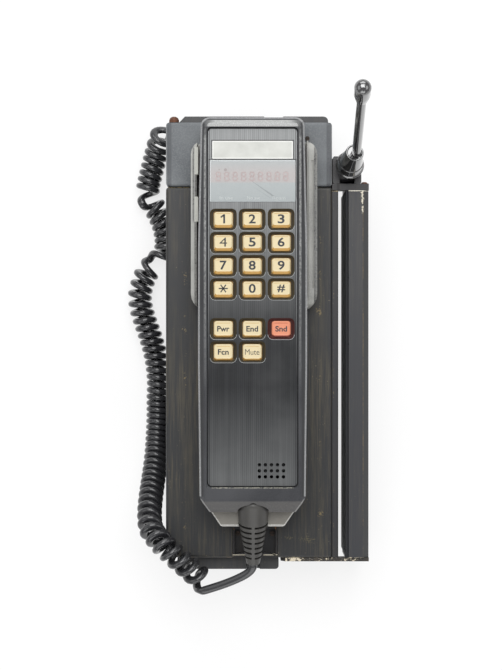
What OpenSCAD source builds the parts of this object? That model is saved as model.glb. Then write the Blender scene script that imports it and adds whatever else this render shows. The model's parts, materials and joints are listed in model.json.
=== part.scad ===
// Cellular bag phone, out of its bag: a transceiver that lies on its back, a keypad handset
// hung in a cradle on its face, a slim battery along its side, a tilting aerial and a curly cord.
// +X is to the right of the face, +Y runs to the top end, and Z = 0 is the surface it lies on.

/* [Transceiver] */
// Width of the front cover
body_w = 89; // [86:1:94]
// Length of the front cover and the top cap together
body_l = 233; // [229:1:240]
// Height of the front cover's face over the surface
body_h = 55; // [53:0.5:58]
// Length of the moulded top cap
cap_l = 34.5; // [30:0.5:38]
// Depth of the skirts of the cover and the cap
skirt_h = 19; // [17:0.5:20]
// Sheet thickness of the front cover
cover_t = 1.4; // [1:0.1:2]
// Wall of the moulded top cap
cap_t = 2.2; // [1.6:0.1:2.6]
// How far the cast chassis stands in from the left side of the cover
left_inset = 5.8; // [5:0.1:7]
// Wall of the cast chassis
chassis_t = 2.6; // [2:0.1:3.4]
// Depth of the end bar at the foot of the chassis
foot_bar = 7.1; // [6:0.1:9]
// Depth of the end bar at the head of the chassis
head_bar = 4.4; // [3.6:0.1:6]
// Thickness of the rear plate
rear_t = 1.6; // [1.2:0.1:2]
// Spacing of the bracket holes across the back
hole_dx = 56; // [44:1:58]
// Spacing of the bracket holes along the back
hole_dy = 150; // [120:1:160]
// Diameter of the bracket holes
hole_d = 4.2; // [3:0.1:5]

/* [Cradle] */
// Gap between the cradle's wings and the handset
wing_gap = 0.9; // [0.6:0.1:1.4]
// Thickness of the left wing
wing_l = 3.2; // [2.6:0.1:4]
// Thickness of the right wing
wing_r = 4.8; // [4:0.1:6]
// Height of the wings over the front cover
wing_h = 22; // [16:0.5:24]
// Length of the cradle
cradle_l = 91; // [84:1:96]

/* [Handset] */
// Width of the handset at its middle
set_w = 56.4; // [54:0.2:57.4]
// Length of the handset
set_l = 213; // [211:0.5:215]
// Height of the handset's face over the front cover
set_h = 38; // [37:0.5:42]
// Wall of the handset shells
set_t = 2.2; // [1.8:0.1:2.6]
// Width of the recessed fascia
panel_w = 45.8; // [45.4:0.1:46.4]
// Length of the recessed fascia
panel_l = 184; // [182:0.5:185]
// Thickness of the fascia
panel_t = 2; // [1.8:0.1:2.4]
// Spacing of the keys across
key_dx = 14.9; // [14.4:0.1:15.1]
// Spacing of the key rows
key_dy = 11.95; // [11.4:0.05:12.1]
// Width of a key cap
key_w = 10; // [9:0.1:10.4]
// Length of a key cap
key_l = 8.5; // [7.6:0.1:8.8]
// Travel of a key
key_travel = 1; // [0.6:0.1:1.2]
// Width of the display window
window_w = 44.2; // [42:0.2:44.6]
// Length of the display window
window_l = 21.6; // [20:0.2:22]

/* [Battery] */
// Width of the battery pack
pack_w = 12.4; // [11:0.1:15]
// Clear slot between the body's side rail and the pack
slot_w = 4; // [3:0.1:6]
// Wall of the battery case
pack_t = 1.6; // [1.2:0.1:2]
// Thickness of the steel foot plate that carries the pack
foot_plate_t = 2; // [1.4:0.1:2.4]

/* [Aerial] */
// Diameter of the aerial's barrel over its foot collar
barrel_d = 13.8; // [12.8:0.2:14.4]
// Diameter of the whip
whip_d = 4.8; // [4.2:0.1:5.2]
// Diameter of the round tip
ball_d = 8.4; // [7:0.1:10]
// Diameter of the hinge pin
hinge_d = 4; // [3:0.1:5]

/* [Cord] */
// Width of the flat cord, across the curl
cord_w = 4.2; // [3.4:0.1:4.4]
// Thickness of the flat cord, along the curl
cord_t = 2.7; // [2.3:0.05:2.8]
// Radius of the curls, to the middle of the cord
curl_r = 4.6; // [4.2:0.1:4.7]

/* [Hidden] */

$fn = 48;
eps = 0.01;
// clearance where one piece slides or drops into another
fit = 0.15;
// gap at a visible seam between two mouldings
seam = 0.3;
// clearance between two bodies that move past each other
run = 0.3;
// longer than any piece, for cuts that go right through
through_all = 300;

// transceiver
x_side = body_w / 2;
y_head = body_l / 2;
y_foot = -body_l / 2;
y_seam = y_head - cap_l;
z_face = body_h;
z_deck = body_h - skirt_h;
deck_t = 2;
edge_r = 1.6;
z_plate = 0;
z_tub = z_plate + rear_t;
tub_left = -x_side + left_inset;
tub_right = x_side - cover_t - 0.3;
tub_mid = (tub_left + tub_right) / 2;
tub_w = tub_right - tub_left;
tub_y = y_head - 1.4;
foot_bar_right = 16;
foot_bar_top = z_face - 9;
head_bar_top = z_face - 11;
notch_x = 13.3;
notch_w = 8;
notch_h = 14;
boss_r = 4;
boss_clear = 0.3;
board_z = z_tub + 9;
board_t = 1.6;
post_x = tub_w / 2 - 7;
post_y = tub_y - 8;
post_r = 3;

// handset, whose middle line stands a little to the right of the body's
set_x = 1.9;
set_head = y_head - 1.1;
set_tail = set_head - set_l;
set_mid = set_head - 97.4;
set_mid_l = 60;
z_top = z_face + set_h;
face_shell_h = 14;
z_split = z_top - face_shell_h;
// the lip where the front shell ends, over the lower nose of the rear shell
shoulder_y = set_tail + 16.3;
lip_y = set_tail + 8.7;
lip_from = set_tail + 15.2;
lip_drop = 4.4;
nose_top = z_split - 0.4;
ear_cup_l = 55.4;
mouth_cup_l = 39.6;
cup_slope_l = 13;
set_end_w = set_w - 3;
set_foot_w = set_w - 1.6;
set_side_chamfer = 3.4;
set_chamfer_h = 4.4;
grip_z = z_face + 14.5;
ear_z = z_face + 3.4;
mouth_z = z_face + 0.4;
nose_w = 32.6;
rim_drop = 1;
panel_top = z_top - rim_drop;
panel_bottom = panel_top - panel_t;
panel_gap = 0.6;
panel_head = set_head - 6.5;
panel_mid = panel_head - panel_l / 2;
panel_foot = panel_head - panel_l;
ledge_w = 1.9;
ledge_t = 2.5;
ledge_z = panel_bottom - ledge_t;
board_top = ledge_z - 2.7;
rail_w = 2.2;
window_y = panel_head - 26.8;
label_w = 41.6;
label_l = 9.2;
label_y = panel_head - 10.8;
label_t = 0.8;
pane_t = 1.4;

// keys
key_x0 = set_x - 0.2;
key_y0 = panel_head - 46.8;
function_y0 = panel_head - 103.1;
well_margin_x = 3.4;
well_margin_y = 2.6;
well_depth = 1;
key_corner = 1;
flange_t = 1.3;
flange_over = 0.9;
key_fit = 0.25;
dome_r = 3;
rows = [0, 1, 2, 3];
columns = [-1, 0, 1];
// the function keys' columns in their two rows
function_keys = [[-1, 0], [0, 0], [1, 0], [-1, 1], [0, 1]];
function key_at(column, row) = [key_x0 + column * key_dx, key_y0 - row * key_dy];
function function_at(column, row) = [key_x0 + column * key_dx, function_y0 - row * key_dy];
key_places = concat(
    [for (row = rows, column = columns) key_at(column, row)],
    [for (key = function_keys) function_at(key[0], key[1])]
);

// sound holes over the ringer
sound_d = 1.8;
sound_pitch = 3.1;
sound_x = set_x + 9.7;
sound_y = panel_foot + 7.8;

// cradle
wing_left = set_x - set_w / 2 - wing_gap;
wing_right = set_x + set_w / 2 + wing_gap;
cradle_left = wing_left - wing_l;
cradle_right = wing_right + wing_r;
cradle_head = 106.2;
cradle_foot = cradle_head - cradle_l;
cradle_base_t = 2.6;
wing_corner = 7;

// side rail and battery
rail_out = 3.3;
rail_t = 1.2;
pack_left = x_side + rail_out + slot_w;
pack_right = pack_left + pack_w;
pack_head = y_seam - 1.9;
pack_low = 3;
pack_back_t = 1.2;
pack_seam = 0.25;
pack_bevel = 3.2;
bracket_y = 3.7;
foot_plate_left = 17;
foot_plate_low = 8;

// aerial: the foot of the barrel, the top of the barrel, the top of the whip and the ball
aerial_pivot = [52.55, 88.8, 48];
barrel_foot = [53.4, 92.6, 62];
barrel_head = [55.2, 97.8, 82];
whip_foot = [56.1, 96.8, 79];
whip_head = [54.9, 118, 149];
tip_end = [54.6, 122.4, 163.4];
barrel_top_r = 4.75;
knuckle_r = 4.4;
knuckle_w = 7.4;
ear_gap = 0.35;
neck_r = 3.1;
mount_w = 15.2;
mount_y = 14.6;
mount_low = 34;
mount_top = 54;

// strain relief: where its middle line starts and ends
boot_start = [set_x + 0.3, set_tail + 13.6, z_top - 9.8];
boot_end = [set_x + 0.3, set_tail - 19.4, z_top - 21.5];
boot_r = 8;
boot_tip_r = 3.6;
boot_smooth = 11.4;
boot_slots = 7;
boot_slot_pitch = 3.15;
boot_slot_w = 1.2;
boot_spine = 1.6;
boot_core_r = 2.6;
boot_length = norm(boot_end - boot_start);

// cord: middle points of the coil, each with the turns made so far, and the plain lead
gland_at = [tub_left, 112.6, 9.4];
gland_l = 3;
gland_r = 3.2;
coil_points = [
    [-47.8, 116, 13.4, -0.4], [-50.2, 110.1, 9.6, 0.7], [-51.8, 105, 7.7, 1.85],
    [-53.1, 100.3, 7.2, 3.1], [-54.4, 95.2, 7.2, 4.4], [-55.6, 90.2, 7.2, 5.75],
    [-56.6, 85.4, 7.2, 7.1], [-56.6, 80.6, 7.4, 7.9], [-54.6, 76.4, 7.6, 7.9],
    [-51.9, 72.6, 7.4, 7.1], [-49.5, 68, 7.2, 6], [-47.6, 63, 7.2, 4.75],
    [-46.6, 58, 7.2, 3.55], [-46.3, 53, 7.2, 2.4], [-47.6, 48, 7.3, 1.5],
    [-50.9, 44.4, 7.6, 1], [-54.8, 40.8, 7.6, 1], [-58, 36.2, 7.4, 1.9],
    [-60, 30.8, 7.2, 3], [-61.2, 24.8, 7.2, 4.2], [-60.6, 18.4, 7.2, 5.5],
    [-58.6, 11.4, 7.2, 7.1], [-55.8, 3.4, 7.2, 9.1], [-53.2, -5.2, 7.2, 11.3],
    [-51.4, -14.2, 7.2, 13.55], [-50.6, -23.6, 7.2, 15.9], [-50.8, -33, 7.2, 18.35],
    [-50.8, -44, 8, 21.55], [-51.2, -54, 10, 24.55], [-51.5, -62, 13.2, 27],
    [-52.1, -70, 18.6, 29.3], [-52.9, -78, 26, 31.8], [-53.6, -86, 35.6, 34.4],
    [-53.7, -94, 46, 36.8], [-52.3, -101, 55.6, 38.8], [-48, -106, 62, 40.35],
    [-43.9, -110, 65, 41.55], [-39.5, -114, 65.3, 42.65], [-35, -118.2, 63.6, 43.7],
    [-29.9, -123.2, 60.2, 44.9], [-24.6, -128.8, 56, 46]
];
// from the strain relief to the end of the coil
lead_points = [
    [2.1, -119.6, 70.4], [0.6, -122.2, 69.2], [-3, -124.6, 67.8], [-7.8, -127, 66.4],
    [-13.2, -129.3, 64.9], [-18.4, -131.2, 63.4], [-22.6, -132.6, 62.1]
];

// ---- shapes used by several pieces ----

// a point with its x and y turned into the corner arc of a rounded outline
function corner_arc(before, at, after, r, steps) =
    let (
        u = (before - at) / norm(before - at),
        v = (after - at) / norm(after - at),
        half = acos(u * v) / 2,
        middle = at + (u + v) / norm(u + v) * r / sin(half),
        start = at + u * r / tan(half) - middle,
        turn = (start[1] * u[0] - start[0] * u[1] > 0 ? 1 : -1) * (180 - 2 * half)
    )
    [for (i = [0:steps]) let (a = turn * i / steps)
        middle + [start[0] * cos(a) - start[1] * sin(a), start[0] * sin(a) + start[1] * cos(a)]];

// an outline whose corners [x, y, radius] are rounded, and stay sharp where the radius is 0
function rounded(corners, steps = 5) =
    let (n = len(corners))
    [for (i = [0:n - 1])
        let (
            a = corners[(i + n - 1) % n],
            b = corners[i],
            c = corners[(i + 1) % n]
        )
        each b[2] > 0
            ? corner_arc([a[0], a[1]], [b[0], b[1]], [c[0], c[1]], b[2], steps)
            : [[b[0], b[1]]]];

module box(low, high) {
    translate(low)
        cube(high - low);
}

// a flat bar with rounded corners in plan
module slab(low, high, r) {
    translate([0, 0, low[2]])
        linear_extrude(high[2] - low[2])
            polygon(rounded([
                [low[0], low[1], r], [high[0], low[1], r], [high[0], high[1], r], [low[0], high[1], r]
            ]));
}

// an outline in Y and Z pushed along X from one place to another
module across(x_from, x_to) {
    translate([x_from, 0, 0])
        rotate([90, 0, 90])
            linear_extrude(x_to - x_from)
                children();
}

// an outline in X and Z pushed along Y from one place to another
module along(y_from, y_to) {
    translate([0, y_to, 0])
        rotate([90, 0, 0])
            linear_extrude(y_to - y_from)
                children();
}

// a block with round corners in plan, r, and round edges round its top, edge
module soft_block(low, high, r, edge) {
    intersection() {
        slab(low, high, r);
        along(low[1], high[1])
            polygon(rounded([
                [low[0], low[2], 0], [high[0], low[2], 0], [high[0], high[2], edge],
                [low[0], high[2], edge]
            ]));
        across(low[0], high[0])
            polygon(rounded([
                [low[1], low[2], 0], [high[1], low[2], 0], [high[1], high[2], edge],
                [low[1], high[2], edge]
            ]));
    }
}

// turns +Z towards the line from one point to another, and moves to its start
module aim(from, to) {
    d = to - from;
    translate(from)
        rotate([0, acos(d[2] / norm(d)), atan2(d[1], d[0])])
            children();
}

// a drilled or turned rod between two points
module rod(from, to, r) {
    aim(from, to)
        cylinder(h = norm(to - from), r = r);
}

module pan_screw(at, r_head, h_head) {
    translate(at)
        difference() {
            cylinder(h = h_head, r = r_head);
            translate([-r_head - 1, -0.3, h_head - 0.5])
                cube([2 * r_head + 2, 0.6, 1]);
        }
}

// ---- transceiver ----

module at_bracket_holes() {
    for (sx = [-1, 1], sy = [-1, 1])
        translate([tub_mid + sx * hole_dx / 2, sy * hole_dy / 2, 0])
            children();
}

module at_posts() {
    for (sx = [-1, 1], sy = [-1, 1])
        translate([tub_mid + sx * post_x, sy * post_y, 0])
            children();
}

module rear_plate() {
    color("#3a3a3c")
        difference() {
            slab([tub_left + 1, -tub_y + 1, z_plate], [tub_right - 1, tub_y - 1, z_tub], 3);
            at_bracket_holes()
                translate([0, 0, z_plate - 1])
                    cylinder(h = rear_t + 2, r = boss_r + boss_clear);
        }
}

// the head bar's outline: a cut corner on the left, a round one on the right, and the notch
module head_bar_outline() {
    low = y_head + fit;
    high = y_head + head_bar;
    polygon(rounded([
        [tub_left, low, 0], [tub_right, low, 0], [tub_right, high, 2.6],
        [notch_x + notch_w / 2 + 1, high, 0.8], [notch_x + notch_w / 2, low + 0.6, 0],
        [notch_x - notch_w / 2, low + 0.6, 0], [notch_x - notch_w / 2 - 1, high, 0.8],
        [tub_left + 4, high, 0.8]
    ]));
}

channel_w = 7.4;
channel_d = 5;
module foot_bar_solid() {
    difference() {
        slab([tub_left, y_foot - foot_bar, z_tub], [foot_bar_right, y_foot - fit, foot_bar_top], 1.8);
        // way for the cord, with a round floor
        translate([boot_end[0], 0, foot_bar_top - channel_d + channel_w / 2])
            rotate([90, 0, 0])
                cylinder(h = through_all, r = channel_w / 2, center = true);
        box([boot_end[0] - channel_w / 2, y_foot - foot_bar - 1, foot_bar_top - channel_d + channel_w / 2],
            [boot_end[0] + channel_w / 2, y_foot + 1, foot_bar_top + 1]);
    }
}

module chassis() {
    floor_z = z_tub + chassis_t;
    color("#4a4a4c")
        difference() {
            union() {
                slab([tub_left, -tub_y, z_tub], [tub_right, tub_y, z_deck], 2.5);
                // deck that the cover and the cap stand on
                slab([-x_side + 0.3, y_foot + 0.3, z_deck - deck_t],
                     [x_side - 0.3, y_head - 0.3, z_deck], 2);
                // spigot inside the cover and the cap
                slab([-x_side + cap_t + fit, y_foot + cap_t + fit, z_deck - deck_t],
                     [x_side - cap_t - fit, y_head - cap_t - fit, z_deck + 3], 2);
                translate([0, 0, z_tub])
                    linear_extrude(head_bar_top - z_tub)
                        head_bar_outline();
                box([tub_left, tub_y - 3, z_tub], [tub_right, y_head + fit + eps, z_deck - deck_t]);
                foot_bar_solid();
                box([tub_left, y_foot - fit - eps, z_tub], [foot_bar_right, -tub_y + 1, z_deck - deck_t]);
                at_bracket_holes()
                    translate([0, 0, z_plate])
                        cylinder(h = rear_t + eps, r = boss_r);
            }
            // room for the board
            slab([tub_left + chassis_t, -tub_y + chassis_t, floor_z],
                 [tub_right - chassis_t, tub_y - chassis_t, z_deck + 4], 2);
            // pocket of the power socket
            box([notch_x - socket_w / 2 - fit, tub_y - chassis_t - 1, socket_z - socket_h / 2 - fit],
                [notch_x + socket_w / 2 + fit, y_head + head_bar + 1, socket_z + socket_h / 2 + fit]);
            // way in for the cord gland
            translate([tub_left - 1, gland_at[1] - 0, gland_at[2]])
                rotate([0, 90, 0])
                    cylinder(h = chassis_t + 2, r = gland_r - 0.9);
            at_bracket_holes()
                translate([0, 0, z_plate - 1])
                    cylinder(h = rear_t + chassis_t + 5, r = hole_d / 2);
        }
    // posts under the board, and blind bosses behind the bracket holes
    color("#4a4a4c") {
        at_posts()
            translate([0, 0, floor_z - 0.5])
                cylinder(h = board_z - floor_z + 0.5, r = post_r);
        at_bracket_holes()
            difference() {
                translate([0, 0, floor_z - 0.5])
                    cylinder(h = 4.5, r = boss_r);
                translate([0, 0, floor_z - 1])
                    cylinder(h = 4, r = hole_d / 2);
            }
    }
}

module main_board() {
    color("#2f6b45")
        difference() {
            slab([tub_left + chassis_t + 1, -tub_y + chassis_t + 1, board_z],
                 [tub_right - chassis_t - 1, tub_y - chassis_t - 1, board_z + board_t], 2);
            at_posts()
                translate([0, 0, board_z - 1])
                    cylinder(h = board_t + 2, r = 1.6);
        }
}

can_h = 9;
module shield_cans() {
    z = board_z + board_t;
    color("#b9bdc0") {
        slab([tub_mid - 32, -88, z], [tub_mid + 6, -20, z + can_h], 1.5);
        slab([tub_mid - 32, -14, z], [tub_mid + 28, 36, z + can_h - 2], 1.5);
        slab([tub_mid + 11, -88, z], [tub_mid + 32, -20, z + can_h + 3], 1.5);
        slab([tub_mid - 26, 42, z], [tub_mid + 22, 84, z + can_h], 1.5);
    }
}

socket_w = 7.4;
pin_dx = 1.9;
socket_h = 9;
socket_z = z_tub + 20;
module power_socket() {
    color("#c9c7bf")
        difference() {
            box([notch_x - socket_w / 2, tub_y - chassis_t - 4, socket_z - socket_h / 2],
                [notch_x + socket_w / 2, y_head + 0.6, socket_z + socket_h / 2]);
            for (sx = [-1, 1])
                translate([notch_x + sx * pin_dx, y_head + 1, socket_z])
                    rotate([90, 0, 0])
                        cylinder(h = 7, r = 1.1);
        }
}

panel_recess_left = -8.9;
panel_recess_right = 15.4;
panel_recess_l = 16.6;
panel_recess_d = 6;
module front_cover() {
    low = [-x_side, y_foot, z_deck];
    high = [x_side, y_seam - seam / 2, z_face];
    color("#3d3c3c")
        difference() {
            soft_block(low, high, 2, edge_r);
            slab([-x_side + cover_t, y_foot + cover_t, z_deck - 1],
                 [x_side - cover_t, y_seam + 5, z_face - cover_t], 1.5);
            // opening over the cord guide
            slab([panel_recess_left, y_foot - 5, z_face - panel_recess_d],
                 [panel_recess_right, y_foot + panel_recess_l, z_face + 1], 1.2);
        }
}

module top_cap() {
    low = [-x_side, y_seam + seam / 2, z_deck];
    high = [x_side, y_head, z_face];
    color("#6d6f70")
        difference() {
            soft_block(low, high, 2, edge_r);
            slab([-x_side + cap_t, y_seam - 5, z_deck - 1],
                 [x_side - cap_t, y_head - cap_t, z_face - cap_t], 1.5);
        }
}

// a pressed tray that fills the opening in the cover, with a lip along the foot end
tray_r = 1.05;
module cord_guide() {
    left = panel_recess_left + fit;
    right = panel_recess_right - fit;
    floor_z = z_face - panel_recess_d + 0.8;
    head = y_foot + panel_recess_l - fit;
    color("#2c2b2c")
        difference() {
            union() {
                difference() {
                    slab([left, y_foot + 0.2, floor_z], [right, head, z_face - 0.4], tray_r);
                    slab([left + 1, y_foot - 1, floor_z + 1], [right - 1, head - 1, z_face + 1], 0.6);
                }
                // lip, arched in plan, which falls away at its two ends
                translate([0, 0, floor_z])
                    linear_extrude(z_face - floor_z)
                        polygon(rounded([
                            [left, y_foot + 0.2, 0], [right, y_foot + 0.2, 0], [right, y_foot + 0.7, 0],
                            [right - 5.5, y_foot + 2.8, 4], [left + 5, y_foot + 2.8, 4],
                            [left, y_foot + 1.8, 0]
                        ]));
                // feet down to the chassis
                for (x = [left, right - 3])
                    box([x, y_foot + 5, z_deck + 3], [x + 3, y_foot + 9, floor_z + eps]);
            }
            translate([boot_end[0], 0, floor_z + channel_w / 2 + 1])
                rotate([90, 0, 0])
                    cylinder(h = through_all, r = channel_w / 2, center = true);
            box([boot_end[0] - channel_w / 2, y_foot - 1, floor_z + channel_w / 2 + 1],
                [boot_end[0] + channel_w / 2, y_foot + 4, z_face + 1]);
        }
}

// the side rail is a channel that opens to the right
module side_rail() {
    low = z_deck + 0.4;
    high = z_face - 1.4;
    color("#333233")
        along(y_foot, y_seam - 2)
            polygon([
                [x_side, low], [x_side + rail_out, low], [x_side + rail_out, low + rail_t],
                [x_side + rail_t, low + rail_t], [x_side + rail_t, high - rail_t],
                [x_side + rail_out, high - rail_t], [x_side + rail_out, high], [x_side, high]
            ]);
}

guide_floor = z_face - panel_recess_d + 1.8;
module brass_screws() {
    color("#b98246") {
        for (x = [panel_recess_left + 2.9, panel_recess_right - 2.9])
            pan_screw([x, y_foot + 12.6, guide_floor], 1.3, 1);
        // beside the round corner of the cradle
        pan_screw([cradle_right - 4.6, cradle_head + 1.6, z_face], 1.2, 1);
    }
}

// round-headed studs in the top end of the body and in the aerial bracket
module stud(at, r, h) {
    translate(at)
        rotate([-90, 0, 0])
            rotate_extrude()
                polygon([
                    [0, 0], [r * 0.7, 0], [r * 0.7, h * 0.3], [r, h * 0.3], [r, h * 0.55],
                    [r * 0.8, h * 0.85], [r * 0.4, h], [0, h]
                ]);
}

module copper_studs() {
    color("#a26b4e") {
        stud([-x_side + 3.9, y_head, z_face - 13], 2.7, head_bar);
        stud([pack_right - 2, y_seam + 1.8, z_face - 9], 1.8, 1.4);
    }
}

// ---- cradle ----

// the wing's outline in Y and Z: its ends slope down to the cover
module wing_outline(top) {
    polygon(rounded([
        [cradle_foot, z_face, 0], [cradle_head, z_face, 0], [cradle_head - 3, top, wing_corner],
        [cradle_foot + 3, top, wing_corner]
    ]));
}

module cradle() {
    top = z_face + wing_h;
    color("#8b8b89")
        difference() {
            union() {
                intersection() {
                    slab([cradle_left, cradle_foot, z_face], [cradle_right, cradle_head, top + 1], 9);
                    union() {
                        across(cradle_left, wing_left)
                            wing_outline(top);
                        across(wing_right, cradle_right)
                            wing_outline(top - 1);
                        box([cradle_left, cradle_foot, z_face],
                            [cradle_right, cradle_head, z_face + cradle_base_t]);
                    }
                }
            }
            // well under the ear cup
            translate([set_x, 88, z_face + 0.8])
                cylinder(h = 5, r = 17);
            // groove along the right wing's crest
            box([wing_right + 1.8, cradle_foot + 12, top - 2],
                [wing_right + 2.8, cradle_head - 12, top + 1]);
        }
}

pad_t = 0.5;
module cradle_pads() {
    top = z_face + wing_h;
    color("#a8a8a4") {
        for (y = [66, 91])
            box([wing_left, y, z_face + 6], [wing_left + pad_t, y + 13, top - 2]);
        box([set_x - 8, -66, z_face], [set_x + 8, -58, z_face + 0.3]);
    }
}

// ---- battery bracket, contacts and battery ----

// heights of the contact pins, and the sides of the clear slot
pin_z = [16, 30];
slot_left = x_side + rail_out - 0.3;
slot_right = pack_left + 0.4;

module aerial_bracket() {
    color("#3a393a")
        difference() {
            box([x_side, pack_head + 0.1, 10], [pack_right, pack_head + bracket_y, z_face - 1]);
            for (z = pin_z)
                translate([(pack_left + pack_back_t + pack_right) / 2, 0, z])
                    rotate([90, 0, 0])
                        cylinder(h = through_all, r = pin_r, center = true);
            // the slot beside the battery runs on under the bracket's top band
            box([slot_left, 0, 9], [slot_right, through_all, z_face - 9]);
        }
}

pin_r = 1.6;
pin_l = 3.4;
module contact_pins() {
    color("#c39a52")
        for (z = pin_z)
            translate([(pack_left + pack_back_t + pack_right) / 2, pack_head + bracket_y, z])
                rotate([90, 0, 0]) {
                    cylinder(h = bracket_y + pin_l, r = pin_r);
                    translate([0, 0, -0.8])
                        cylinder(h = 0.8, r = pin_r + 1);
                }
}

module battery_back() {
    color("#2e2d2e")
        box([pack_left, y_foot, pack_low], [pack_left + pack_back_t, pack_head, z_face - 0.6]);
}

// outline of the battery case in X and Z, with its bevelled outer edge
module pack_outline(inset) {
    left = pack_left + pack_back_t + pack_seam;
    polygon([
        [left, pack_low + inset], [pack_right - inset, pack_low + inset],
        [pack_right - inset, z_face - 4.6 - inset * 0.4],
        [pack_right - pack_bevel - inset * 0.4, z_face - inset], [left, z_face - inset]
    ]);
}

module battery_case() {
    color("#39383a")
        difference() {
            along(y_foot, pack_head)
                pack_outline(0);
            along(y_foot + pack_t, pack_head - pack_t)
                intersection() {
                    pack_outline(pack_t);
                    translate([pack_left, 0])
                        square([pack_w, z_face - pack_t]);
                }
            for (z = pin_z)
                translate([(pack_left + pack_back_t + pack_right) / 2, pack_head + 1, z])
                    rotate([90, 0, 0])
                        cylinder(h = pin_l + 2.6, r = pin_r + run);
        }
}

cell_count = 5;
module battery_cells() {
    left = pack_left + pack_back_t + pack_seam + 0.3;
    right = pack_right - pack_t - 0.3;
    first = y_foot + pack_t + 1;
    span = (pack_head - pack_t - 6 - first) / cell_count;
    color("#6f7f8c")
        for (i = [0:cell_count - 1])
            slab([left, first + i * span, pack_low + pack_t + 0.3],
                 [right, first + (i + 1) * span - 0.8, z_face - 6.4], 2);
}

module battery_foot_plate() {
    color("#4b4744")
        difference() {
            along(y_foot - foot_plate_t - 0.1, y_foot - 0.1)
                polygon([
                    [foot_plate_left + 2.4, foot_plate_low], [pack_right, foot_plate_low],
                    [pack_right, z_face - 1.6], [foot_plate_left + 2.4, z_face - 1.6],
                    [foot_plate_left, z_face - 5], [foot_plate_left, foot_plate_low + 3]
                ]);
            for (z = [16, 40])
                translate([(pack_left + pack_right) / 2, 0, z])
                    rotate([90, 0, 0])
                        cylinder(h = through_all, r = 1.5, center = true);
            box([slot_left, -through_all, foot_plate_low - 1], [slot_right, 0, z_face - 8]);
        }
    color("#4b4744")
        for (z = [16, 40])
            translate([(pack_left + pack_right) / 2, y_foot - foot_plate_t - 0.1, z])
                rotate([90, 0, 0])
                    difference() {
                        translate([0, 0, -foot_plate_t - 0.1])
                            cylinder(h = foot_plate_t + 1.1, r = 1.5 + eps);
                        translate([-2, -0.3, 0.4])
                            cube([4, 0.6, 2]);
                    }
}

// ---- aerial ----

module aerial_mount() {
    left = aerial_pivot[0] - mount_w / 2;
    right = aerial_pivot[0] + mount_w / 2;
    foot = pack_head + bracket_y;
    slot = knuckle_w / 2 + ear_gap;
    color("#2b2b2d")
        difference() {
            union() {
                slab([left, foot, mount_low], [right, foot + mount_y, mount_top], 1);
                box([x_side, foot + 1, mount_low + 2], [left + 1, foot + mount_y - 1, mount_top - 4]);
            }
            translate([aerial_pivot[0] - slot, 0, 0])
                rotate([90, 0, 90])
                    linear_extrude(2 * slot)
                        union() {
                            translate([aerial_pivot[1], aerial_pivot[2]])
                                circle(r = knuckle_r + run + 0.1);
                            translate([foot - 1, aerial_pivot[2] - neck_r - 0.6])
                                square([mount_y + 2, mount_top]);
                        }
            translate([left - 5, aerial_pivot[1], aerial_pivot[2]])
                rotate([0, 90, 0])
                    cylinder(h = mount_w + 10, r = hinge_d / 2);
        }
}

module aerial_pin() {
    left = aerial_pivot[0] - mount_w / 2;
    color("#b5b5b2")
        translate([left + 0.4, aerial_pivot[1], aerial_pivot[2]])
            rotate([0, 90, 0])
                cylinder(h = mount_w - 0.4, r = hinge_d / 2 - eps);
}

module aerial_knuckle() {
    color("#232325")
        difference() {
            union() {
                translate([aerial_pivot[0] - knuckle_w / 2, aerial_pivot[1], aerial_pivot[2]])
                    rotate([0, 90, 0])
                        cylinder(h = knuckle_w, r = knuckle_r);
                // neck, cut off square under the barrel
                difference() {
                    rod(aerial_pivot, barrel_foot + (barrel_foot - aerial_pivot) * 0.2, neck_r);
                    aim(barrel_foot, barrel_head)
                        translate([0, 0, -0.02])
                            cylinder(h = 20, r = 12);
                }
            }
            translate([aerial_pivot[0] - knuckle_w, aerial_pivot[1], aerial_pivot[2]])
                rotate([0, 90, 0])
                    cylinder(h = 2 * knuckle_w, r = hinge_d / 2 + 0.06);
        }
}

// barrel: a foot collar, a cone with one raised line, and a dished end round the whip
module aerial_barrel() {
    length = norm(barrel_head - barrel_foot);
    collar = barrel_d / 2 + 0.7;
    r = barrel_d / 2;
    line = 6.6;
    line_r = r - (r - barrel_top_r) * line / length;
    color("#1f1f21")
        difference() {
            aim(barrel_foot, barrel_head)
                rotate_extrude()
                    polygon([
                        [0, 0], [collar - 0.7, 0], [collar, 0.6], [collar, 1.5], [r + 0.1, 2],
                        [r - 0.1, 2.4], [line_r, line - 0.4], [line_r + 0.25, line - 0.2],
                        [line_r + 0.25, line + 0.4], [line_r - 0.1, line + 0.6],
                        [barrel_top_r, length - 0.6], [barrel_top_r - 0.25, length],
                        [barrel_top_r - 0.8, length], [barrel_top_r - 1, length - 0.8], [0, length - 0.8]
                    ]);
            rod(whip_foot, whip_head, whip_d / 2 + fit);
        }
}

module aerial_whip() {
    color("#1b1b1d")
        rod(whip_foot, whip_head, whip_d / 2);
}

// bullet with a round end, necked down to the whip
module aerial_tip() {
    length = norm(tip_end - whip_head);
    seat = 3;
    r = ball_d / 2;
    color("#1d1d20")
        difference() {
            aim(whip_head, tip_end)
                rotate_extrude()
                    polygon(concat(
                        [[0, -seat], [whip_d / 2 + 0.5, -seat], [whip_d / 2 + 0.7, -seat + 0.5], [r, 4]],
                        [for (a = [0:10:90]) [r * cos(a), length - r + r * sin(a)]]
                    ));
            rod(whip_foot, whip_head, whip_d / 2 + fit);
        }
}

// ---- handset ----

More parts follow.
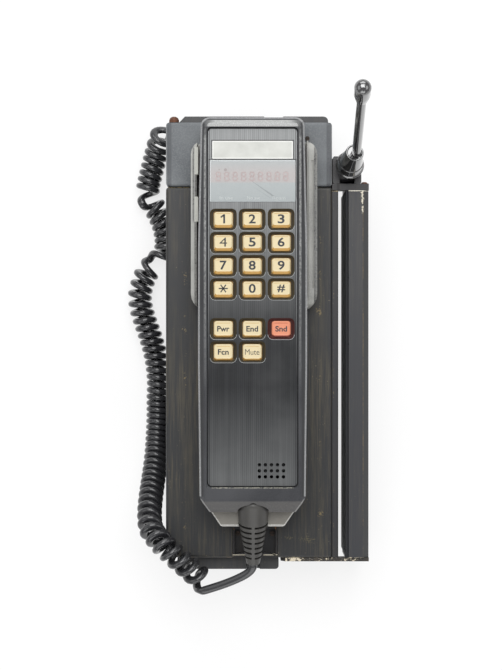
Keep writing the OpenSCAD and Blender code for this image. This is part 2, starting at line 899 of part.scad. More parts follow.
// the whole handset as one form, drawn in on all sides by an inset
module handset_form(inset) {
    mid = set_w / 2 - inset;
    end = set_end_w / 2 - inset;
    foot = set_foot_w / 2 - inset;
    nose = nose_w / 2 - inset;
    head_y = set_head - inset;
    tail_y = set_tail + inset;
    half_l = set_mid_l / 2;
    intersection() {
        translate([set_x, 0, z_face])
            linear_extrude(set_h + 1)
                polygon(rounded([
                    [-end, head_y, 5], [end, head_y, 5], [mid, set_mid + half_l, 60],
                    [mid, set_mid - half_l, 60], [foot, shoulder_y, 4], [nose, tail_y, 2.4],
                    [-nose, tail_y, 2.4], [-foot, shoulder_y, 4], [-mid, set_mid - half_l, 60],
                    [-mid, set_mid + half_l, 60]
                ]));
        translate([set_x, 0, 0])
            along(set_tail - 1, set_head + 1)
                polygon(rounded([
                    [-mid + 2, mouth_z + inset - 1, 0], [mid - 2, mouth_z + inset - 1, 0],
                    [mid + 0.2, z_split - 6, 0], [mid + 0.2, z_top - set_chamfer_h - inset, 2],
                    [mid - set_side_chamfer, z_top - inset, 1.2],
                    [-mid + set_side_chamfer, z_top - inset, 1.2],
                    [-mid - 0.2, z_top - set_chamfer_h - inset, 2], [-mid - 0.2, z_split - 6, 0]
                ]));
        across(-set_w, set_w)
            polygon(rounded([
                [head_y, ear_z + inset, 4], [head_y, z_top - 4.6 - inset * 0.4, 2],
                [head_y - 3.8, z_top - inset, 1.6], [lip_from + inset * 0.4, z_top - inset, 2],
                [lip_y + inset, z_top - lip_drop - inset, 1], [lip_y + inset, nose_top - inset, 0],
                [tail_y, nose_top - 0.8 - inset, 2], [tail_y, mouth_z + inset, 5],
                [set_tail + mouth_cup_l - inset, mouth_z + inset, 4],
                [set_tail + mouth_cup_l + cup_slope_l - inset, grip_z + inset, 9],
                [set_head - ear_cup_l - cup_slope_l + inset, grip_z + inset, 9],
                [set_head - ear_cup_l + inset, ear_z + inset, 5]
            ]));
    }
}

// the case screws stand in the grip, clear of both cups
screw_from_cup = 6;
screw_y = [set_head - ear_cup_l - screw_from_cup, set_tail + mouth_cup_l + screw_from_cup + 2];
screw_x = 20;
module at_handset_screws() {
    for (sx = [-1, 1], y = screw_y)
        translate([set_x + sx * screw_x, y, 0])
            children();
}

module boot_passage(clear) {
    aim(boot_start, boot_end)
        translate([0, 0, -4])
            cylinder(h = 40, r1 = boot_r + clear + 0.1, r2 = boot_r + clear - 1);
}

module handset_front() {
    near = [set_x - panel_w / 2 - panel_gap, panel_foot - panel_gap];
    far = [set_x + panel_w / 2 + panel_gap, panel_head + panel_gap + 0.3];
    reach = through_all / 2;
    color("#5b5c5d")
        difference() {
            intersection() {
                handset_form(0);
                box([-reach, -reach, z_split], [reach, reach, z_top + 2]);
            }
            difference() {
                intersection() {
                    handset_form(set_t);
                    box([-reach, -reach, z_split - 1], [reach, reach, ledge_z]);
                }
                // rails that the keypad board bears on, and posts for the case screws
                for (sx = [-1, 1])
                    translate([set_x + sx * (set_w / 2 - set_t - rail_w / 2), 0, 0])
                        box([-rail_w / 2 - 0.8, panel_foot + 3, board_top],
                            [rail_w / 2 + 0.8, panel_head - 8, z_top]);
            }
            slab([near[0], near[1], panel_bottom], [far[0], far[1], z_top + 5], 2);
            slab([near[0] + ledge_w, near[1] + ledge_w, z_split - 1],
                 [far[0] - ledge_w, far[1] - ledge_w, z_top], 1.5);
            boot_passage(fit);
        }
}

module handset_rear() {
    reach = through_all / 2;
    color("#4d4e4f")
        difference() {
            union() {
                difference() {
                    intersection() {
                        handset_form(0);
                        box([-reach, -reach, z_face], [reach, reach, z_split]);
                    }
                    intersection() {
                        handset_form(set_t);
                        box([-reach, -reach, z_face], [reach, reach, z_split + 1]);
                    }
                }
                // posts under the board, which take the case screws
                at_handset_screws()
                    translate([0, 0, grip_z + 0.5])
                        cylinder(h = board_top - board_thick - grip_z - 0.5, r = 3);
            }
            at_handset_screws() {
                translate([0, 0, grip_z - 1])
                    cylinder(h = 60, r = 1.3);
                translate([0, 0, grip_z - 15])
                    cylinder(h = 16.4, r = 2.7);
            }
            // sound holes of the ear cup and the mouth cup
            for (a = [0:60:300])
                translate([set_x + 5 * cos(a), earpiece_y + 5 * sin(a), z_face])
                    cylinder(h = 8, r = 0.9);
            for (x = [-3, 0, 3])
                translate([set_x + x, mouthpiece_y, z_face - 1])
                    cylinder(h = 8, r = 0.8);
            boot_passage(fit);
        }
}

board_thick = 1.6;
module keypad_board() {
    z = board_top - board_thick;
    half = set_w / 2 - set_t - 1.4;
    color("#2f6b45")
        difference() {
            slab([set_x - half, panel_foot + 5, z], [set_x + half, panel_head - 4, board_top], 3);
            at_handset_screws()
                translate([0, 0, z - 1])
                    cylinder(h = 5, r = 1.3);
        }
}

mat_t = 1.1;
module key_mat() {
    half = panel_w / 2 + panel_gap - ledge_w - 0.6;
    low = function_y0 - key_dy - key_l / 2 - 3;
    color("#3f3f41") {
        slab([set_x - half, low, board_top],
             [set_x + half, key_y0 + key_l / 2 + 3, board_top + mat_t], 2);
        for (at = key_places)
            translate([at[0], at[1], board_top + mat_t - eps])
                cylinder(h = key_bottom - key_travel - 0.2 - board_top - mat_t, r1 = dome_r,
                         r2 = dome_r - 0.8);
    }
}

key_flange_top = panel_bottom - 0.1;
key_bottom = key_flange_top - flange_t;

module at_sound_holes() {
    for (i = [-2:2], j = [-1:1])
        translate([sound_x + i * sound_pitch, sound_y + j * sound_pitch, 0])
            children();
}

module fascia() {
    left = set_x - panel_w / 2;
    right = set_x + panel_w / 2;
    foot = panel_mid - panel_l / 2;
    head = panel_mid + panel_l / 2;
    color("#66676a")
        difference() {
            slab([left, foot, panel_bottom], [right, head, panel_top], 1.8);
            for (at = key_places) {
                slab([at[0] - (key_w + well_margin_x) / 2, at[1] - (key_l + well_margin_y) / 2,
                      panel_top - well_depth],
                     [at[0] + (key_w + well_margin_x) / 2, at[1] + (key_l + well_margin_y) / 2,
                      panel_top + 1], 1.8);
                slab([at[0] - key_w / 2 - key_fit, at[1] - key_l / 2 - key_fit, panel_bottom - 1],
                     [at[0] + key_w / 2 + key_fit, at[1] + key_l / 2 + key_fit, panel_top + 1],
                     key_corner);
            }
            // window, with a ledge under the pane
            box([set_x - window_w / 2 - fit, window_y - window_l / 2 - fit, panel_top - pane_t],
                [set_x + window_w / 2 + fit, window_y + window_l / 2 + fit, panel_top + 1]);
            box([set_x - window_w / 2 + 1.2, window_y - window_l / 2 + 1.2, panel_bottom - 1],
                [set_x + window_w / 2 - 1.2, window_y + window_l / 2 - 1.2, panel_top]);
            // seat of the label plate
            box([set_x - label_w / 2 - fit, label_y - label_l / 2 - fit, panel_top - label_t + 0.2],
                [set_x + label_w / 2 + fit, label_y + label_l / 2 + fit, panel_top + 1]);
            at_sound_holes()
                translate([0, 0, panel_bottom - 1])
                    cylinder(h = panel_t + 2, r = sound_d / 2, $fn = 24);
        }
}

module label_plate() {
    color("#c9cac8")
        slab([set_x - label_w / 2, label_y - label_l / 2, panel_top - label_t + 0.2],
             [set_x + label_w / 2, label_y + label_l / 2, panel_top + 0.2], 0.4);
}

module display_window() {
    color("#aeb9c0")
        slab([set_x - window_w / 2, window_y - window_l / 2, panel_top - pane_t],
             [set_x + window_w / 2, window_y + window_l / 2, panel_top], 0.5);
}

digit_count = 9;
digit_pitch = 4.4;
module display_board() {
    z = board_top;
    color("#8f9aa2") {
        box([set_x - 20.6, window_y - 9, z], [set_x + 20.6, window_y + 9, z + 2.6]);
        for (i = [0:digit_count - 1])
            box([set_x + (i - (digit_count - 1) / 2) * digit_pitch - 1.9, window_y - 0.4, z + 2.6 - eps],
                [set_x + (i - (digit_count - 1) / 2) * digit_pitch + 1.9, window_y + 6.2, z + 3.8]);
    }
}

earpiece_y = set_head - 27.4;
mouthpiece_y = set_tail + 19.6;
module earpiece() {
    z = ear_z + set_t;
    color("#4a4a4d")
        translate([set_x, earpiece_y, z]) {
            cylinder(h = 5, r = 17);
            translate([0, 0, 5 - eps])
                cylinder(h = 2.6, r = 9);
        }
}

module mouthpiece() {
    z = mouth_z + set_t;
    color("#4a4a4d")
        translate([set_x, mouthpiece_y, z])
            cylinder(h = 6, r = 5);
}

module ringer() {
    color("#3c3c3f")
        translate([sound_x, sound_y + 7, board_top])
            difference() {
                cylinder(h = 4.2, r = 9.6);
                translate([0, 0, 2.8])
                    cylinder(h = 3, r = 8.4);
            }
}

module handset_screws() {
    color("#9a9a98")
        at_handset_screws() {
            translate([0, 0, grip_z + 1.4 - 1.4])
                cylinder(h = 1.4, r = 2.4);
            translate([0, 0, grip_z + 1.4 - eps])
                cylinder(h = board_top - grip_z - 1.4, r = 1.2);
        }
}

// slotted boot, tapered from the handset to the cord
module strain_relief() {
    step = boot_slot_pitch;
    color("#222224")
        aim(boot_start, boot_end)
            difference() {
                rotate_extrude()
                    polygon([
                        [0, 0], [boot_r - 0.2, 0], [boot_r - 0.1, 1], [boot_r - 0.4, boot_smooth],
                        [boot_tip_r, boot_length], [0, boot_length]
                    ]);
                for (i = [0:boot_slots - 1])
                    translate([0, 0, boot_smooth + i * step]) {
                        difference() {
                            translate([-boot_r - 1, -boot_r - 1, 0])
                                cube([2 * boot_r + 2, 2 * boot_r + 2, boot_slot_w]);
                            translate([0, 0, -1])
                                cylinder(h = boot_slot_w + 2, r = boot_core_r);
                            translate([-boot_r - 2, -boot_spine / 2, -1])
                                cube([2 * boot_r + 4, boot_spine, boot_slot_w + 2]);
                        }
                    }
            }
}

// ---- keys ----

module key(index, tint) {
    at = key_places[index];
    half_w = key_w / 2;
    half_l = key_l / 2;
    color(tint) {
        intersection() {
            slab([at[0] - half_w, at[1] - half_l, key_flange_top - eps],
                 [at[0] + half_w, at[1] + half_l, z_top], key_corner);
            // slightly domed top, with bevelled edges
            translate([at[0], 0, 0])
                along(at[1] - half_l, at[1] + half_l)
                    polygon([
                        [-half_w, key_flange_top - 1], [half_w, key_flange_top - 1],
                        [half_w, z_top - 0.7], [half_w - 0.5, z_top - 0.1], [0, z_top],
                        [-half_w + 0.5, z_top - 0.1], [-half_w, z_top - 0.7]
                    ]);
        }
        slab([at[0] - half_w - flange_over, at[1] - half_l - flange_over, key_bottom],
             [at[0] + half_w + flange_over, at[1] + half_l + flange_over, key_flange_top], 1.2);
    }
}

cream = "#efe2bd";
salmon = "#dd8f7c";
module key_1() { key(0, cream); }
module key_2() { key(1, cream); }
module key_3() { key(2, cream); }
module key_4() { key(3, cream); }
module key_5() { key(4, cream); }
module key_6() { key(5, cream); }
module key_7() { key(6, cream); }
module key_8() { key(7, cream); }
module key_9() { key(8, cream); }
module key_star() { key(9, cream); }
module key_0() { key(10, cream); }
module key_hash() { key(11, cream); }
module key_power() { key(12, cream); }
module key_end() { key(13, cream); }
module key_send() { key(14, salmon); }
module key_function() { key(15, cream); }
module key_mute() { key(16, cream); }

// ---- cord ----

module cord_gland() {
    mouth = gland_at[0] - gland_l;
    color("#202022")
        translate([mouth, gland_at[1], gland_at[2]])
            rotate([0, 90, 0]) {
                cylinder(h = gland_l, r = gland_r);
                cylinder(h = gland_l + chassis_t, r = gland_r - 1);
            }
}

// a smooth curve through the points p, at a place u counted in points
function through(p, u) =
    let (
        last = len(p) - 1,
        i = min(max(floor(u), 0), last - 1),
        t = u - i,
        a = p[max(i - 1, 0)],
        b = p[i],
        c = p[i + 1],
        d = p[min(i + 2, last)]
    )
    0.5 * (2 * b + (c - a) * t + (2 * a - 5 * b + 4 * c - d) * t * t
        + (3 * b - a - 3 * c + d) * t * t * t);

function unit(v) = v / norm(v);
function xyz(p) = [p[0], p[1], p[2]];

// direction of the coil's middle line, averaged over a few turns
window_u = 0.8;
function coil_way(u) =
    unit(xyz(through(coil_points, min(u + window_u, len(coil_points) - 1)))
        - xyz(through(coil_points, max(u - window_u, 0))));

// a point on the curls
function on_curl(u) =
    let (
        p = through(coil_points, u),
        way = coil_way(u),
        side = unit(cross(way, [0, 0, 1])),
        up = cross(side, way),
        turn = 360 * p[3]
    )
    xyz(p) + curl_r * (cos(turn) * side + sin(turn) * up);

rings_per_turn = 8;
least_rings = 4;
function rings_in(i) =
    max(least_rings, round(rings_per_turn * abs(coil_points[i + 1][3] - coil_points[i][3])));
curl_places = concat(
    [for (i = [0:len(coil_points) - 2], k = [0:rings_in(i) - 1]) i + k / rings_in(i)],
    [len(coil_points) - 1]
);
curl_path = [for (u = curl_places) on_curl(u)];
curl_middle = [for (u = curl_places) xyz(through(coil_points, u))];

// straight run out of the gland, the curls, and the run that meets the lead
gland_mouth = gland_at - [gland_l, 0, 0];
coil_exit = lead_points[len(lead_points) - 1];
exit_way = unit(coil_exit - lead_points[len(lead_points) - 2]);
exit_turn = coil_exit + exit_way * cord_w;
coil_path = concat(
    [gland_mouth, gland_mouth - [cord_w, 0, 0]],
    curl_path,
    [exit_turn, coil_exit]
);
coil_centre = concat(
    [gland_mouth + [0, 0, curl_r], gland_mouth + [-cord_w, 0, curl_r]],
    curl_middle,
    [exit_turn - [0, 0, curl_r], coil_exit - [0, 0, curl_r]]
);

function way_at(path, i) =
    let (last = len(path) - 1)
    i == 0 ? unit(path[1] - path[0])
    : i == last ? unit(path[last] - path[last - 1])
    : unit(unit(path[i + 1] - path[i]) + unit(path[i] - path[i - 1]));

// rings of an oval cord whose width points away from a centre
function oval_rings(path, centre, sides) = [for (i = [0:len(path) - 1])
    let (
        way = way_at(path, i),
        out = path[i] - centre[i],
        wide = unit(out - way * (out * way)),
        thin = cross(way, wide)
    )
    [for (k = [0:sides - 1]) let (a = 360 * (k + 0.5) / sides)
        path[i] + wide * cos(a) * cord_w / 2 + thin * sin(a) * cord_t / 2]];

// one closed tube over the rings
module tube(rings) {
    sides = len(rings[0]);
    last = len(rings) - 1;
    points = [for (ring = rings) each ring];
    faces = concat(
        [[for (k = [0:sides - 1]) k]],
        [for (i = [0:last - 1], k = [0:sides - 1])
            let (a = i * sides + k, b = i * sides + (k + 1) % sides)
            each [[a, a + sides, b], [b, a + sides, b + sides]]],
        [[for (k = [sides - 1:-1:0]) last * sides + k]]
    );
    polyhedron(points = points, faces = faces, convexity = 12);
}

coil_rings = oval_rings(coil_path, coil_centre, 6);

// least gap between neighbouring turns, taken over the points of their rings
near_from = 5;
near_to = 14;
function ring_gap(a, b) = min([for (p = a, q = b) norm(p - q)]);
function least_gap(rings, path) = min([for (i = [0:len(path) - 1 - near_from])
    min([for (j = [i + near_from:len(path) - 1])
        norm(path[i] - path[j]) > 2.6 * cord_w ? 99 : ring_gap(rings[i], rings[j])])]);

module cord_coil() {
    color("#2b2b2d")
        tube(coil_rings);
}

// the plain lead, from the tip of the strain relief to the coil
boot_way = unit(boot_end - boot_start);
lead_path = concat([boot_end, boot_end + boot_way * 1.5], lead_points);
lead_centre = [for (p = lead_path) p + [0, 0, 20]];
module cord_lead() {
    color("#2b2b2d")
        tube(oval_rings(lead_path, lead_centre, 8));
}

echo(least_gap_of_coil = least_gap(coil_rings, coil_path));
echo(rings = len(coil_path), turn_length = len(curl_path));

rear_plate();
chassis();
main_board();
shield_cans();
power_socket();
front_cover();
top_cap();
side_rail();
brass_screws();
copper_studs();
cord_guide();
cradle();
cradle_pads();
aerial_bracket();
contact_pins();
aerial_mount();
aerial_pin();
cord_gland();
cord_coil();
cord_lead();
battery_back();
battery_case();
battery_cells();
battery_foot_plate();
aerial_knuckle();
aerial_barrel();
aerial_whip();
aerial_tip();
handset_front();
handset_rear();
fascia();
label_plate();
display_window();
display_board();
key_mat();
keypad_board();
earpiece();
mouthpiece();
ringer();
strain_relief();
handset_screws();
key_1();
key_2();
key_3();
key_4();
key_5();
key_6();
key_7();
key_8();
key_9();
key_star();
key_0();
key_hash();
key_power();
key_end();
key_send();
key_function();
key_mute();
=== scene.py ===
"""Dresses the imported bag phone: worn paint, moulded plastic, keys, display, aerial and curly cord."""

import json
import math

import bpy
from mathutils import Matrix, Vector

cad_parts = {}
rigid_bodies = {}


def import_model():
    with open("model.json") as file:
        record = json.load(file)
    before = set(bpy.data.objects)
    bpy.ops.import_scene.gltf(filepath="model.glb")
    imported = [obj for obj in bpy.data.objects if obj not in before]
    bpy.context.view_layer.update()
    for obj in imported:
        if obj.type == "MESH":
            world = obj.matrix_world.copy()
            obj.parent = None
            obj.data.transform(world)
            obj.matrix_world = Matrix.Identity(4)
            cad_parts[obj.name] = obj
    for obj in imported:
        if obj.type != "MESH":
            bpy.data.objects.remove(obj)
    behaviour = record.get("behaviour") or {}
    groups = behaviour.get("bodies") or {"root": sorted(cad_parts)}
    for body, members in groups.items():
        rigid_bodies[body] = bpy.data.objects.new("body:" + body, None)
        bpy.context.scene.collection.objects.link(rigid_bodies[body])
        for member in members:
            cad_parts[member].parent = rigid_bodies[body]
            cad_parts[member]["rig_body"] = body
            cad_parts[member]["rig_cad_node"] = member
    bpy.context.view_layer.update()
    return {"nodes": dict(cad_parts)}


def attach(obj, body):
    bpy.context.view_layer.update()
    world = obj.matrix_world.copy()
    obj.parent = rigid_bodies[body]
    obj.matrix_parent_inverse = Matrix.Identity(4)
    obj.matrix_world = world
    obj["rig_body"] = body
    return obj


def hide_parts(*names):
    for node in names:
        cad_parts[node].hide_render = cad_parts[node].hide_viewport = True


MM = 0.001

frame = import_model()
cad = frame["nodes"]


# ---------------------------------------------------------------- camera

# A lens of about 100 mm, 1055 mm over the table, looking straight down.
SENSOR_MM = 36
FOCAL_PIXELS = 1869
PICTURE_PIXELS = 670
CAMERA_AT = (1.07, 2.7, 1055)

camera_data = bpy.data.cameras.new("camera")
camera_data.sensor_width = SENSOR_MM
camera_data.lens = SENSOR_MM * FOCAL_PIXELS / PICTURE_PIXELS
camera = bpy.data.objects.new("camera", camera_data)
camera.location = [v * MM for v in CAMERA_AT]
bpy.context.scene.collection.objects.link(camera)
bpy.context.scene.camera = camera


# ---------------------------------------------------------------- working tools

def select_only(*objects):
    bpy.ops.object.select_all(action="DESELECT")
    for obj in objects:
        obj.select_set(True)
    bpy.context.view_layer.objects.active = objects[0]


def mode(kind):
    bpy.ops.object.mode_set(mode=kind)


def apply_modifier(obj, kind, **settings):
    modifier = obj.modifiers.new(kind.lower(), kind)
    for name, value in settings.items():
        setattr(modifier, name, value)
    select_only(obj)
    bpy.ops.object.modifier_apply(modifier=modifier.name)


def smooth(obj, angle=35):
    select_only(obj)
    bpy.ops.object.shade_smooth_by_angle(angle=math.radians(angle))


def settle(obj):
    """Puts the object's place into its mesh."""
    select_only(obj)
    bpy.ops.object.transform_apply(location=True, rotation=True, scale=True)


def added(operator, **settings):
    """A new object from one of the add operators."""
    bpy.ops.object.select_all(action="DESELECT")
    operator(**settings)
    return bpy.context.object


def moved(obj, at_mm, turn=(0, 0, 0)):
    """Turns an object by degrees about the origin, moves it and settles it."""
    obj.rotation_euler = [math.radians(v) for v in turn]
    obj.location = [v * MM for v in at_mm]
    settle(obj)
    return obj


def box_of(low, high):
    middle = [(a + b) / 2 * MM for a, b in zip(low, high)]
    obj = added(bpy.ops.mesh.primitive_cube_add, size=1, location=middle)
    obj.scale = [(b - a) * MM for a, b in zip(low, high)]
    settle(obj)
    return obj


def give_materials(obj, *materials):
    """Replaces an object's materials. Where there are several, each face keeps its own."""
    order = [face.material_index for face in obj.data.polygons]
    obj.data.materials.clear()
    for material in materials:
        obj.data.materials.append(material)
    if len(materials) > 1:
        for face, index in zip(obj.data.polygons, order):
            face.material_index = index


def finish_piece(obj, name, body, materials, replaces=()):
    obj.name = name
    obj.data.name = name
    give_materials(obj, *(materials if isinstance(materials, list) else [materials]))
    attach(obj, body)
    if replaces:
        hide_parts(*replaces)
    return obj


def eased_copy(node_name, edge_mm, segments=3, angle=32):
    """A copy of a CAD node whose sharp edges are eased, as a moulding's or a pressing's are."""
    select_only(cad[node_name])
    bpy.ops.object.duplicate()
    piece = bpy.context.object
    piece.parent = None
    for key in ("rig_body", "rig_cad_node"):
        del piece[key]
    mode("EDIT")
    bpy.ops.mesh.select_all(action="SELECT")
    bpy.ops.mesh.remove_doubles(threshold=0.00002)
    bpy.ops.mesh.dissolve_limited(angle_limit=math.radians(1.5))
    mode("OBJECT")
    if edge_mm:
        apply_modifier(
            piece, "BEVEL", width=edge_mm * MM, segments=segments, limit_method="ANGLE",
            angle_limit=math.radians(angle), use_clamp_overlap=True, harden_normals=False,
        )
    smooth(piece, angle)
    apply_modifier(piece, "WEIGHTED_NORMAL", keep_sharp=True)
    return piece


def select_where(obj, domain, test):
    """Selects the edges or faces that pass a test, and leaves the piece in edit mode."""
    select_only(obj)
    mode("EDIT")
    bpy.ops.mesh.select_mode(type=domain)
    bpy.ops.mesh.select_all(action="DESELECT")
    mode("OBJECT")
    for one in obj.data.edges if domain == "EDGE" else obj.data.polygons:
        one.select = test(one)
    mode("EDIT")


def rounded_block(low, high, corner_mm, segments=5):
    """A block whose upright corners are rounded."""
    block = box_of(low, high)

    def upright(edge):
        a, b = (block.data.vertices[i].co for i in edge.vertices)
        return abs(a.z - b.z) > 1e-6 and (a - b).xy.length < 1e-6

    select_where(block, "EDGE", upright)
    bpy.ops.mesh.bevel(offset=corner_mm * MM, segments=segments)
    mode("OBJECT")
    return block


def eased_box(low, high, edge_mm=0.15):
    block = box_of(low, high)
    apply_modifier(block, "BEVEL", width=edge_mm * MM, segments=2)
    return block


def inset_top(obj, *steps_mm):
    """Insets the top face again and again, by a width and a rise for each step."""
    top = max(face.center.z for face in obj.data.polygons)
    select_where(obj, "FACE", lambda face: face.center.z > top - 1e-6)
    for width, rise in steps_mm:
        bpy.ops.mesh.inset(thickness=width * MM, depth=0)
        bpy.ops.transform.translate(value=(0, 0, rise * MM))
    mode("OBJECT")


def joined(pieces):
    select_only(*pieces)
    bpy.ops.object.join()
    return bpy.context.object


def lettering(words, middle_mm, height_mm, width_mm=None, weight=0.02, thick_mm=0.03):
    """Flat letters, fitted to a height, or to a width as well, about a middle point."""
    text = added(bpy.ops.object.text_add, location=(0, 0, 0))
    text.data.body = words
    text.data.offset = weight
    text.data.extrude = 0.01
    text.data.resolution_u = 4
    bpy.ops.object.convert(target="MESH")
    text = bpy.context.object
    low = [min(v.co[i] for v in text.data.vertices) for i in range(3)]
    high = [max(v.co[i] for v in text.data.vertices) for i in range(3)]
    tall = height_mm * MM / (high[1] - low[1])
    wide = width_mm * MM / (high[0] - low[0]) if width_mm else tall
    text.scale = (wide, tall, thick_mm * MM / (high[2] - low[2]))
    settle(text)
    text.location = [
        middle_mm[0] * MM - (low[0] + high[0]) / 2 * wide, middle_mm[1] * MM - (low[1] + high[1]) / 2 * tall,
        middle_mm[2] * MM,
    ]
    settle(text)
    return text


# ---------------------------------------------------------------- materials

def colour(hexa, alpha=1.0):
    """A colour written as sRGB hex, turned to linear."""
    parts = [int(hexa[i:i + 2], 16) / 255 for i in (1, 3, 5)]
    return tuple(p / 12.92 if p <= 0.04045 else ((p + 0.055) / 1.055) ** 2.4 for p in parts) + (alpha,)


def add(tree, kind, settings=None, **inputs):
    """Adds a node with its settings; an input is a value, or a socket that it is linked to."""
    node = tree.nodes.new(kind)
    for name, value in (settings or {}).items():
        setattr(node, name, value)
    for name, value in inputs.items():
        socket = node.inputs[int(name[1:])] if name[0] == "_" else node.inputs[name.replace("_", " ")]
        if isinstance(value, bpy.types.NodeSocket):
            tree.links.new(value, socket)
        else:
            socket.default_value = value
    return node


def new_material(name):
    material = bpy.data.materials.new(name)
    material.use_nodes = True
    tree = material.node_tree
    tree.nodes.clear()
    shader = add(tree, "ShaderNodeBsdfPrincipled")
    out = add(tree, "ShaderNodeOutputMaterial")
    tree.links.new(shader.outputs[0], out.inputs[0])
    place = add(tree, "ShaderNodeTexCoord").outputs["Object"]
    return material, tree, shader, place


def grain(tree, place, size_mm, stretch=(1, 1, 1), detail=3.0, rough=0.55, shift=0.0):
    """Noise on the piece's own coordinates."""
    at = add(tree, "ShaderNodeMapping", Vector=place, Scale=stretch, Location=(shift, shift, shift))
    noise = add(
        tree, "ShaderNodeTexNoise", Vector=at.outputs[0], Scale=1 / (size_mm * MM), Detail=detail,
        Roughness=rough,
    )
    return noise.outputs["Fac"]


def grey(v):
    return (v, v, v, 1)


def mask(tree, value, low, high):
    """0 below low and 1 above high."""
    return add(
        tree, "ShaderNodeMapRange", {"clamp": True}, Value=value, **{"From_Min": low, "From_Max": high}
    ).outputs[0]


def past(tree, coordinate, low_mm, high_mm):
    """0 before one plane across an axis and 1 beyond another; they may be given in either order."""
    return mask(tree, coordinate, low_mm * MM, high_mm * MM)


def mix(tree, amount, first, second, blend="MIX"):
    node = add(tree, "ShaderNodeMix", {"data_type": "RGBA", "blend_type": blend}, _0=amount)
    for socket, value in ((node.inputs[6], first), (node.inputs[7], second)):
        if isinstance(value, bpy.types.NodeSocket):
            tree.links.new(value, socket)
        else:
            socket.default_value = value
    return node.outputs[2]


def sums(tree, operation, first, second=0.0, third=0.0):
    return add(
        tree, "ShaderNodeMath", {"operation": operation, "use_clamp": False}, _0=first, _1=second, _2=third
    ).outputs[0]


def minus(tree, first, second):
    return sums(tree, "SUBTRACT", first, second)


def linear(tree, value, factor, offset):
    """A value times a factor, plus an offset."""
    return sums(tree, "MULTIPLY_ADD", value, factor, offset)


def bumps(tree, shader, height, distance_mm, strength=1.0):
    bump = add(tree, "ShaderNodeBump", Height=height, Distance=distance_mm * MM, Strength=strength)
    tree.links.new(bump.outputs[0], shader.inputs["Normal"])


def axes(tree, place):
    return add(tree, "ShaderNodeSeparateXYZ", Vector=place).outputs


def between(tree, value, low, high, soft):
    """1 between two values, softly edged."""
    rising = mask(tree, value, low - soft, low + soft)
    return times(tree, rising, mask(tree, value, high + soft, high - soft))


def span(tree, coordinate, low_mm, high_mm, soft_mm):
    """1 between two planes across an axis, softly edged."""
    return between(tree, coordinate, low_mm * MM, high_mm * MM, soft_mm * MM)


def facing(tree, low, high, soft=0.05):
    """1 on faces whose upward share of the normal lies between two values."""
    normal = add(tree, "ShaderNodeTexCoord").outputs["Normal"]
    return between(tree, axes(tree, normal)[2], low, high, soft)


def times(tree, *values):
    result = values[0]
    for value in values[1:]:
        result = sums(tree, "MULTIPLY", result, value)
    return result


def off_centre(tree, coordinate, middle_mm):
    """The distance from a plane across one axis."""
    return sums(tree, "ABSOLUTE", minus(tree, coordinate, middle_mm * MM))


def ring_line(tree, x, y, middle, half, at_mm, within_mm):
    """1 on a line that runs round a rectangle, at a distance outside it."""
    over_x = minus(tree, off_centre(tree, x, middle[0]), half[0] * MM)
    over_y = minus(tree, off_centre(tree, y, middle[1]), half[1] * MM)
    return near(tree, most(tree, over_x, over_y), at_mm, within_mm)


def excess(tree, value, limit):
    """How far a value lies over a limit, or 0."""
    return most(tree, minus(tree, value, limit), 0.0)


def diagonal(tree, across, along):
    return sums(tree, "SQRT", linear(tree, across, across, times(tree, along, along)))


def scratch(tree, place, start, end, width_mm):
    """A scratch that widens from its start to its end; 1 in its middle."""
    x, y = axes(tree, place)[:2]
    run = Vector((end[0] - start[0], end[1] - start[1]))
    reach = run.length * MM
    u = run.normalized()
    dx = minus(tree, x, start[0] * MM)
    dy = minus(tree, y, start[1] * MM)
    along = linear(tree, dy, u.y, times(tree, dx, u.x))
    off = sums(tree, "ABSOLUTE", linear(tree, dy, u.x, times(tree, dx, -u.y)))
    ends = times(tree, past(tree, along, -0.1, 0.1), mask(tree, along, reach + 0.2 * MM, reach))
    half = linear(tree, mask(tree, along, 0.0, reach), width_mm / 2 * MM, 0.05 * MM)
    return times(tree, past(tree, minus(tree, half, off), 0.0, 0.06), ends)


def spot(tree, place, at, radius_mm, soft=0.6):
    """1 inside a round spot in plan, softly edged."""
    x, y = axes(tree, place)[:2]
    far = diagonal(
        tree, minus(tree, x, at[0] * MM), minus(tree, y, at[1] * MM)
    )
    return past(tree, far, radius_mm, radius_mm * soft)


def tinted(tree, shaded, where, share, hexa):
    """A shade with a share of another colour laid over it where a mask is 1."""
    return mix(tree, times(tree, where, share), shaded, colour(hexa))


def set_finish(tree, shader, shaded, **values):
    """Links the colour and sets the shader's other inputs."""
    tree.links.new(shaded, shader.inputs["Base Color"])
    for name, value in values.items():
        shader.inputs[name.replace("_", " ")].default_value = value


def moulded_abs(name, shade, worn, roughness=0.5, texture_mm=0.55, bump_mm=0.05, specular=0.5, wear_and_light=None):
    """Spark-textured ABS: dull, with lighter grains where hands polished it, and the marks that a given
    function lays over it: pale rubbed edges, painted highlights and painted shade.
    """
    material, tree, shader, place = new_material(name)
    fine = grain(tree, place, texture_mm, detail=2.5, rough=0.6)
    broad = grain(tree, place, 38, detail=3, shift=3.1)
    base = mix(tree, mask(tree, broad, 0.35, 0.7), colour(shade), colour(worn))
    specks = mask(tree, fine, 0.45, 0.68)
    shaded = tinted(tree, base, specks, 0.45, worn)
    # laid over the shade: rubbed wear, and also painted highlights and painted shade
    for where, share, wear_and_light_colour in wear_and_light(tree, place) if wear_and_light else ():
        grainy = times(tree, where, share, linear(tree, specks, 0.4, 0.6))
        shaded = mix(tree, grainy, shaded, colour(wear_and_light_colour))
    set_finish(tree, shader, shaded, Roughness=roughness, Specular_IOR_Level=specular)
    bumps(tree, shader, fine, bump_mm)
    return material


